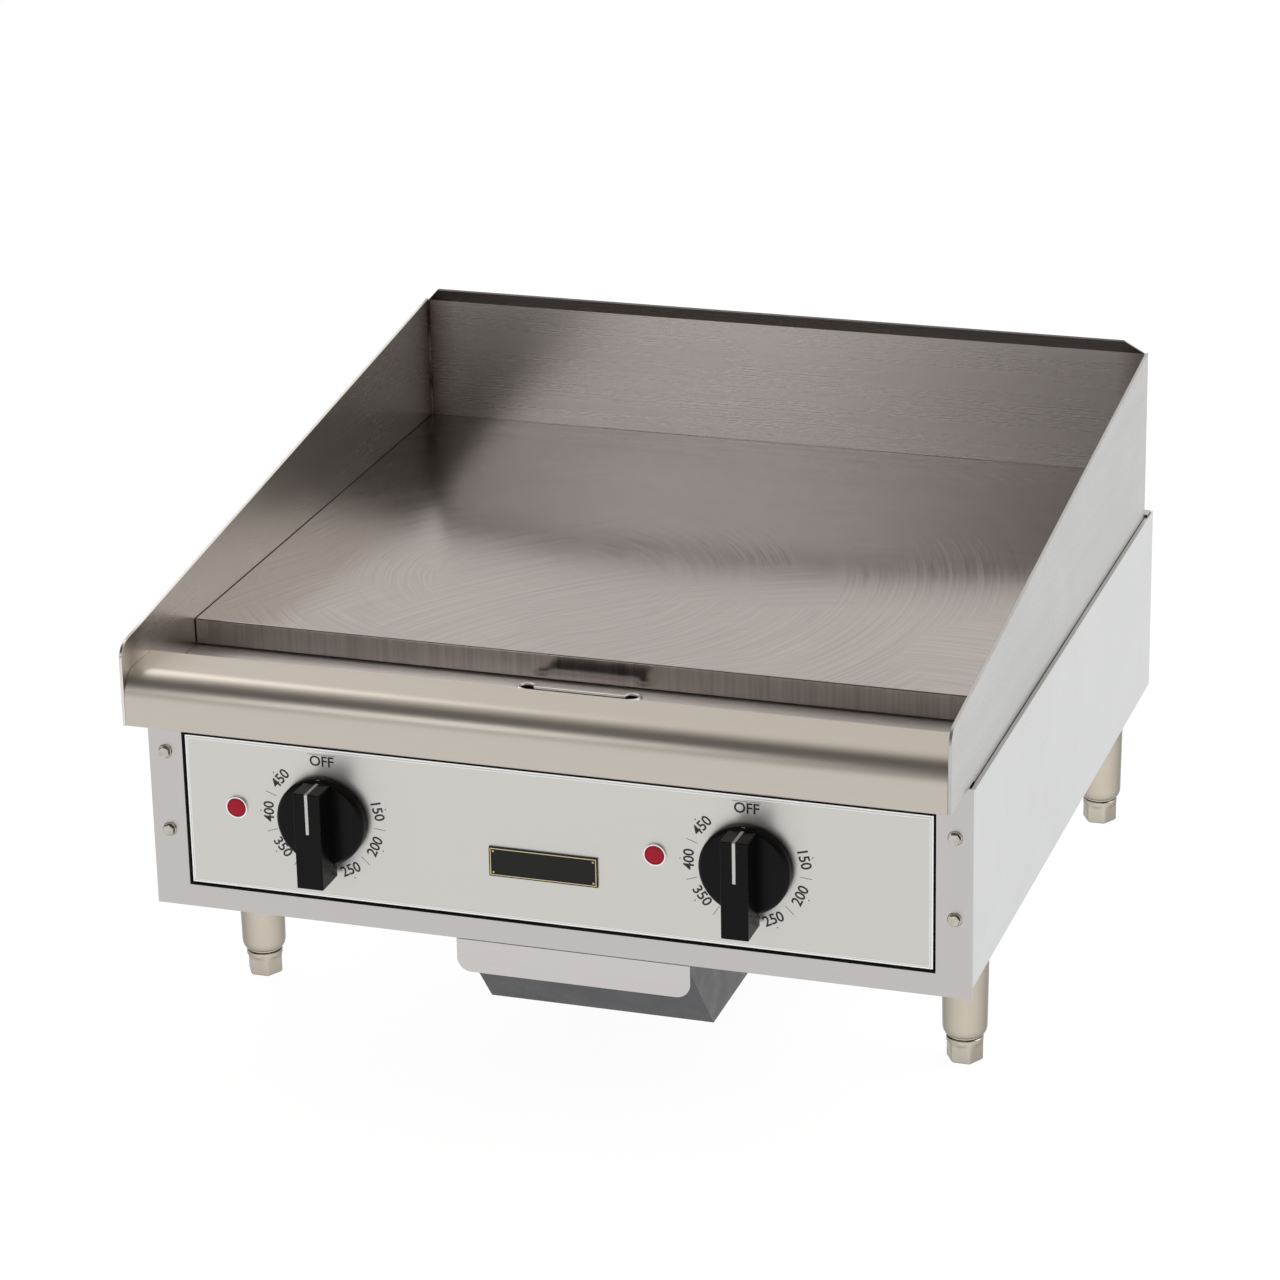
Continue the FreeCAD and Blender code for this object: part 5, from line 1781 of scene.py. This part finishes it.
@dataclass
class Legs:
    """Four plated legs and their levelling feet."""

    bench: Bench
    finishes: Finishes
    collar: float = 13.2 * MM
    waist: float = 16.4 * MM
    top: float = 17.8 * MM
    shoulder: float = 9 * MM
    foot_radius: float = 13.5 * MM
    foot_across: float = 23.8 * MM
    hex_height: float = 15.5 * MM
    foot_height: float = 19 * MM
    stem: float = 6.0 * MM
    stud: float = 6.4 * MM
    collar_height: float = 1.6 * MM
    collar_flare: float = 0.1 * MM
    shoulder_steps: int = 12
    rounded_share: float = 0.9
    straight_share: float = 0.1
    sides: int = 72

    def build(self) -> None:
        """Makes each leg and foot."""
        for end in ("front", "rear"):
            for side in ("left", "right"):
                name = f"{end}_{side}"
                self.leg(name)
                self.foot(name, Body(f"foot_{name}"))

    def leg(self, name: str) -> None:
        """Tapered leg with a rounded shoulder above its collar.

        Args:
            name: the corner, such as front_left.
        """
        low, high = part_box(f"leg_{name}")
        centre = Vector(((low.x + high.x) / 2, (low.y + high.y) / 2, low.z))
        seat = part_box("bottom_pan")[0].z - low.z
        flared = self.collar + self.collar_flare
        profile = [(self.collar - 0.6 * MM, 0), (self.collar, 0.6 * MM), (flared, self.collar_height)]
        rise, swell = self.shoulder - self.collar_height, self.waist - self.collar
        for step in range(1, self.shoulder_steps + 1):
            angle = math.pi / 2 * step / self.shoulder_steps
            climb = rise * (1 - math.cos(angle)) * self.rounded_share
            slant = rise * self.straight_share * step / self.shoulder_steps
            profile.append((flared + (swell - self.collar_flare) * math.sin(angle),
                            self.collar_height + climb + slant))
        profile += [(self.top - 0.3 * MM, seat - 1 * MM), (self.top - 0.6 * MM, seat), (self.stud, seat),
                    (self.stud, high.z - low.z)]
        mesh = turned(profile, centre, Vector((0, 0, 1)), self.sides)
        self.bench.piece(f"leg_{name}_cast", mesh, Body.CHASSIS, "nickel_plate", self.finishes.nickel,
                         Grain.UPRIGHT, replaces=(f"leg_{name}",))

    def foot(self, name: str, body: Body) -> None:
        """Foot that is hexagonal below, for the wrench, and round above.

        Args:
            name: the corner, such as front_left.
            body: the body it rides on.
        """
        low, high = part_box(f"foot_{name}")
        centre = Vector(((low.x + high.x) / 2, (low.y + high.y) / 2, 0))
        top = self.foot_height
        levels = [(0.0, 0.90, 1.0), (0.5 * MM, 0.955, 1.0), (1.5 * MM, 1.0, 1.0),
                  (self.hex_height - 3.6 * MM, 1.0, 1.0),
                  (self.hex_height - 1.4 * MM, 1.0, 0.6), (self.hex_height, 1.0, 0.0),
                  (top - 0.6 * MM, 1.0, 0.0),
                  (top, 0.965, 0.0)]
        rings = []
        for z, scale, hexed in levels:
            ring = []
            for k in range(self.sides):
                angle = 2 * math.pi * k / self.sides
                within = (angle + math.pi / 6) % (math.pi / 3) - math.pi / 6
                flat = min(self.foot_across / 2 / math.cos(within), self.foot_radius)
                radius = (flat * hexed + self.foot_radius * (1 - hexed)) * scale
                ring.append(centre + Vector((radius * math.sin(angle), -radius * math.cos(angle), z)))
            rings.append(ring)
        for z in (top, high.z):
            rings.append([centre + Vector((self.stem * math.sin(2 * math.pi * k / self.sides),
                                           -self.stem * math.cos(2 * math.pi * k / self.sides), z))
                          for k in range(self.sides)])
        self.bench.piece(f"foot_{name}_hex", lofted(rings), body, "nickel_plate", self.finishes.nickel,
                         Grain.UPRIGHT, replaces=(f"foot_{name}",))


@dataclass
class HeatingGear:
    """The elements under the plate, their clamps, the insulation and the wiring."""

    bench: Bench
    finishes: Finishes
    tube_radius: float = 4.2 * MM
    pitch: float = 46 * MM
    passes: int = 6
    run_start: float = 27 * MM

    def build(self) -> None:
        """Makes the elements and dresses the rest."""
        tree = bead_tree("bent_tube", self.finishes.sheath)
        for side in ("left", "right"):
            self.element(side, tree)
        for node in ("clamp_studs", "clamp_nuts", "ground_lug"):
            self.bench.dressed(node, "screw_steel", self.finishes.bright)
        self.bench.dressed("insulation_blanket", "mineral_wool", self.finishes.wool)
        self.bench.dressed("terminal_block", "black_plastic", self.finishes.black)
        self.bench.dressed("wiring", "wire_sleeving", self.finishes.sleeving)

    def element(self, side: str, tree: bpy.types.NodeTree) -> None:
        """One sheathed tube, bent to and fro.

        Args:
            side: left or right.
            tree: the geometry tree that makes the tube.
        """
        low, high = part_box(f"heating_element_{side}")
        z = (low.z + high.z) / 2
        first = low.x + self.tube_radius
        near, far = low.y + self.run_start, high.y - self.tube_radius
        points = []
        for number in range(self.passes):
            ends = (near, far) if number % 2 == 0 else (far, near)
            points += [Vector((first + self.pitch * number, y, z)) for y in ends]
        points[0].y = low.y
        points[-1].y = low.y
        values = {"Radius": self.tube_radius, "Bend": self.pitch / 2 - 0.05 * MM, "Spacing": 5 * MM,
                  "Ripple": 0.0,
                  "Seed": 1}
        self.bench.grown(f"element_tube_{side}",
                         seed_points(f"element_seed_{side}", points, joined=True), tree,
                         values, Body.CHASSIS, "element_sheath", replaces=(f"heating_element_{side}",))


# ---------------------------------------------------------------- studio
@dataclass(frozen=True)
class Softbox:
    """A rectangular light: where it is, the point it faces, its width and height, and its watts."""

    name: str
    at: tuple[float, float, float]
    aim: tuple[float, float, float]
    size: Point
    power: float


SOFTBOXES = (
    Softbox("left_softbox", (-1.35, 0.6, 2.0), (-0.2, -0.2, 0.3), (1.3, 1.0), 4),
    Softbox("front_softbox", (-1.15, -3.1, 1.5), (0, 0.3, 0.3), (0.7, 0.9), 5),
    Softbox("right_softbox", (2.9, 0.6, 1.3), (0, 0.2, 0.25), (1.8, 1.6), 14),
)


@dataclass
class Studio:
    """Pale floor, soft lights, a directional sky for reflections, and the camera."""

    camera_at: Vector = field(default_factory=lambda: Vector((0.9541, -2.9242, 1.4237)))
    camera_yaw: float = math.radians(-18.441)
    camera_pitch: float = math.radians(21.103)
    camera_roll: float = math.radians(-1.195)
    lens: float = 123.1
    floor_half: float = 40.0
    paper_glow: float = 1.09
    paper_share: float = 0.12
    paper_grey: Colour = (0.9, 0.9, 0.9)
    room_span: Point = (-0.3, 0.35)
    dim_room: Colour = (0.13, 0.124, 0.12)
    bright_backdrop: Colour = (0.97, 0.94, 0.90)
    horizon_colour: Colour = (0.97, 0.95, 0.92)
    horizon_height: float = 0.3
    horizon_share: float = 0.6

    def build(self) -> None:
        """Sets up the whole studio."""
        self.floor()
        self.sky()
        for softbox in SOFTBOXES:
            self.light(softbox)
        self.camera()
        bpy.context.scene.view_settings.view_transform = "Standard"

    def floor(self) -> None:
        """Seamless pale floor, lit mostly by itself so that it stays even."""
        half = self.floor_half
        data = bpy.data.meshes.new("floor")
        data.from_pydata([(-half, -half, 0), (half, -half, 0), (half, half, 0), (-half, half, 0)], [],
                         [(0, 1, 2, 3)])
        floor = bpy.data.objects.new("floor", data)
        bpy.context.collection.objects.link(floor)
        material = bpy.data.materials.new("floor_paper")
        material.use_nodes = True
        nodes = material.node_tree.nodes
        links = material.node_tree.links
        nodes.clear()
        glow = nodes.new("ShaderNodeEmission")
        glow.label = "Even paper white"
        glow.inputs["Strength"].default_value = self.paper_glow
        paper = nodes.new("ShaderNodeBsdfDiffuse")
        paper.label = "Paper that takes shadows"
        paper.inputs["Color"].default_value = (*self.paper_grey, 1)
        blend = nodes.new("ShaderNodeMixShader")
        blend.label = "Mostly even"
        blend.inputs["Fac"].default_value = self.paper_share
        output = nodes.new("ShaderNodeOutputMaterial")
        output.label = "Floor"
        paper_frame = nodes.new("NodeFrame")
        paper_frame.label = "Paper that glows"
        for node in (glow, paper, blend, output):
            node.parent = paper_frame
        links.new(glow.outputs["Emission"], blend.inputs[1])
        links.new(paper.outputs["BSDF"], blend.inputs[2])
        links.new(blend.outputs["Shader"], output.inputs["Surface"])
        spread_nodes(material.node_tree)
        data.materials.append(material)

    def sky(self) -> None:
        """Bright behind the griddle, dim behind the camera, white where the camera sees it."""
        world = bpy.data.worlds.new("studio")
        bpy.context.scene.world = world
        world.use_nodes = True
        nodes = world.node_tree.nodes
        links = world.node_tree.links
        nodes.clear()
        direction = nodes.new("ShaderNodeTexCoord")
        direction.label = "Direction"
        split = nodes.new("ShaderNodeSeparateXYZ")
        split.label = "Back, side and height"
        depth = nodes.new("ShaderNodeMapRange")
        depth.label = "From behind the camera to the backdrop"
        depth.inputs["From Min"].default_value = self.room_span[0]
        depth.inputs["From Max"].default_value = self.room_span[1]
        room = nodes.new("ShaderNodeValToRGB")
        room.label = "Dim room to bright backdrop"
        room.color_ramp.elements[0].color = (*self.dim_room, 1)
        room.color_ramp.elements[1].color = (*self.bright_backdrop, 1)
        horizon = nodes.new("ShaderNodeMapRange")
        horizon.label = "Lighter towards the floor"
        horizon.inputs["From Min"].default_value = 0.0
        horizon.inputs["From Max"].default_value = self.horizon_height
        horizon.inputs["To Min"].default_value = self.horizon_share
        horizon.inputs["To Max"].default_value = 0.0
        lifted = nodes.new("ShaderNodeMix")
        lifted.label = "Horizon glow over the room"
        lifted.data_type = "RGBA"
        lifted.inputs[7].default_value = (*self.horizon_colour, 1)
        seen = nodes.new("ShaderNodeBackground")
        seen.label = "White to the camera"
        seen.inputs["Color"].default_value = (1, 1, 1, 1)
        around = nodes.new("ShaderNodeBackground")
        around.label = "The room"
        path = nodes.new("ShaderNodeLightPath")
        path.label = "Seen or reflected"
        choose = nodes.new("ShaderNodeMixShader")
        choose.label = "Backdrop"
        output = nodes.new("ShaderNodeOutputWorld")
        output.label = "World"
        ray_frame = nodes.new("NodeFrame")
        ray_frame.label = "Which way a ray goes"
        for node in (direction, split):
            node.parent = ray_frame
        room_frame = nodes.new("NodeFrame")
        room_frame.label = "Colour of the room"
        for node in (depth, room, horizon, lifted):
            node.parent = room_frame
        seen_frame = nodes.new("NodeFrame")
        seen_frame.label = "White where the camera looks"
        for node in (seen, around, path, choose, output):
            node.parent = seen_frame
        links.new(direction.outputs["Generated"], split.inputs["Vector"])
        links.new(split.outputs["Y"], depth.inputs["Value"])
        links.new(depth.outputs["Result"], room.inputs["Fac"])
        links.new(split.outputs["Z"], horizon.inputs["Value"])
        links.new(horizon.outputs["Result"], lifted.inputs["Factor"])
        links.new(room.outputs["Color"], lifted.inputs[6])
        links.new(lifted.outputs[2], around.inputs["Color"])
        links.new(path.outputs["Is Camera Ray"], choose.inputs["Fac"])
        links.new(around.outputs["Background"], choose.inputs[1])
        links.new(seen.outputs["Background"], choose.inputs[2])
        links.new(choose.outputs["Shader"], output.inputs["Surface"])
        spread_nodes(world.node_tree)

    def light(self, softbox: Softbox) -> None:
        """Sets up one softbox.

        Args:
            softbox: its values.
        """
        data = bpy.data.lights.new(softbox.name, "AREA")
        data.shape = "RECTANGLE"
        data.size, data.size_y = softbox.size
        data.energy = softbox.power
        lamp = bpy.data.objects.new(softbox.name, data)
        lamp.location = Vector(softbox.at)
        lamp.rotation_mode = "QUATERNION"
        lamp.rotation_quaternion = (Vector(softbox.aim) - Vector(softbox.at)).to_track_quat("-Z", "Y")
        bpy.context.collection.objects.link(lamp)

    def camera(self) -> None:
        """Camera above the right front corner, rolled slightly."""
        yaw, pitch, roll = self.camera_yaw, self.camera_pitch, self.camera_roll
        forward = Vector((math.sin(yaw) * math.cos(pitch), math.cos(yaw) * math.cos(pitch),
                          -math.sin(pitch)))
        level = Vector((math.cos(yaw), -math.sin(yaw), 0))
        upright = level.cross(forward)
        right = level * math.cos(roll) + upright * math.sin(roll)
        up = upright * math.cos(roll) - level * math.sin(roll)
        data = bpy.data.cameras.new("camera")
        data.lens = self.lens
        data.sensor_width = 36.0
        camera = bpy.data.objects.new("camera", data)
        turn = Matrix((right, up, -forward)).transposed().to_4x4()
        camera.matrix_world = Matrix.Translation(self.camera_at) @ turn
        bpy.context.collection.objects.link(camera)
        bpy.context.scene.camera = camera


def main() -> None:
    """Builds the griddle, one sub-assembly after another."""
    logging.basicConfig(level=logging.INFO, format="%(name)s: %(message)s")
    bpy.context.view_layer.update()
    Studio().build()
    finishes = Finishes()
    bench = Bench()
    for assembly in (CookingTop, FrontDeck, Casing, Fascia, GreaseDrawer, Legs, HeatingGear):
        assembly(bench, finishes).build()


if __name__ == "__main__":
    main()
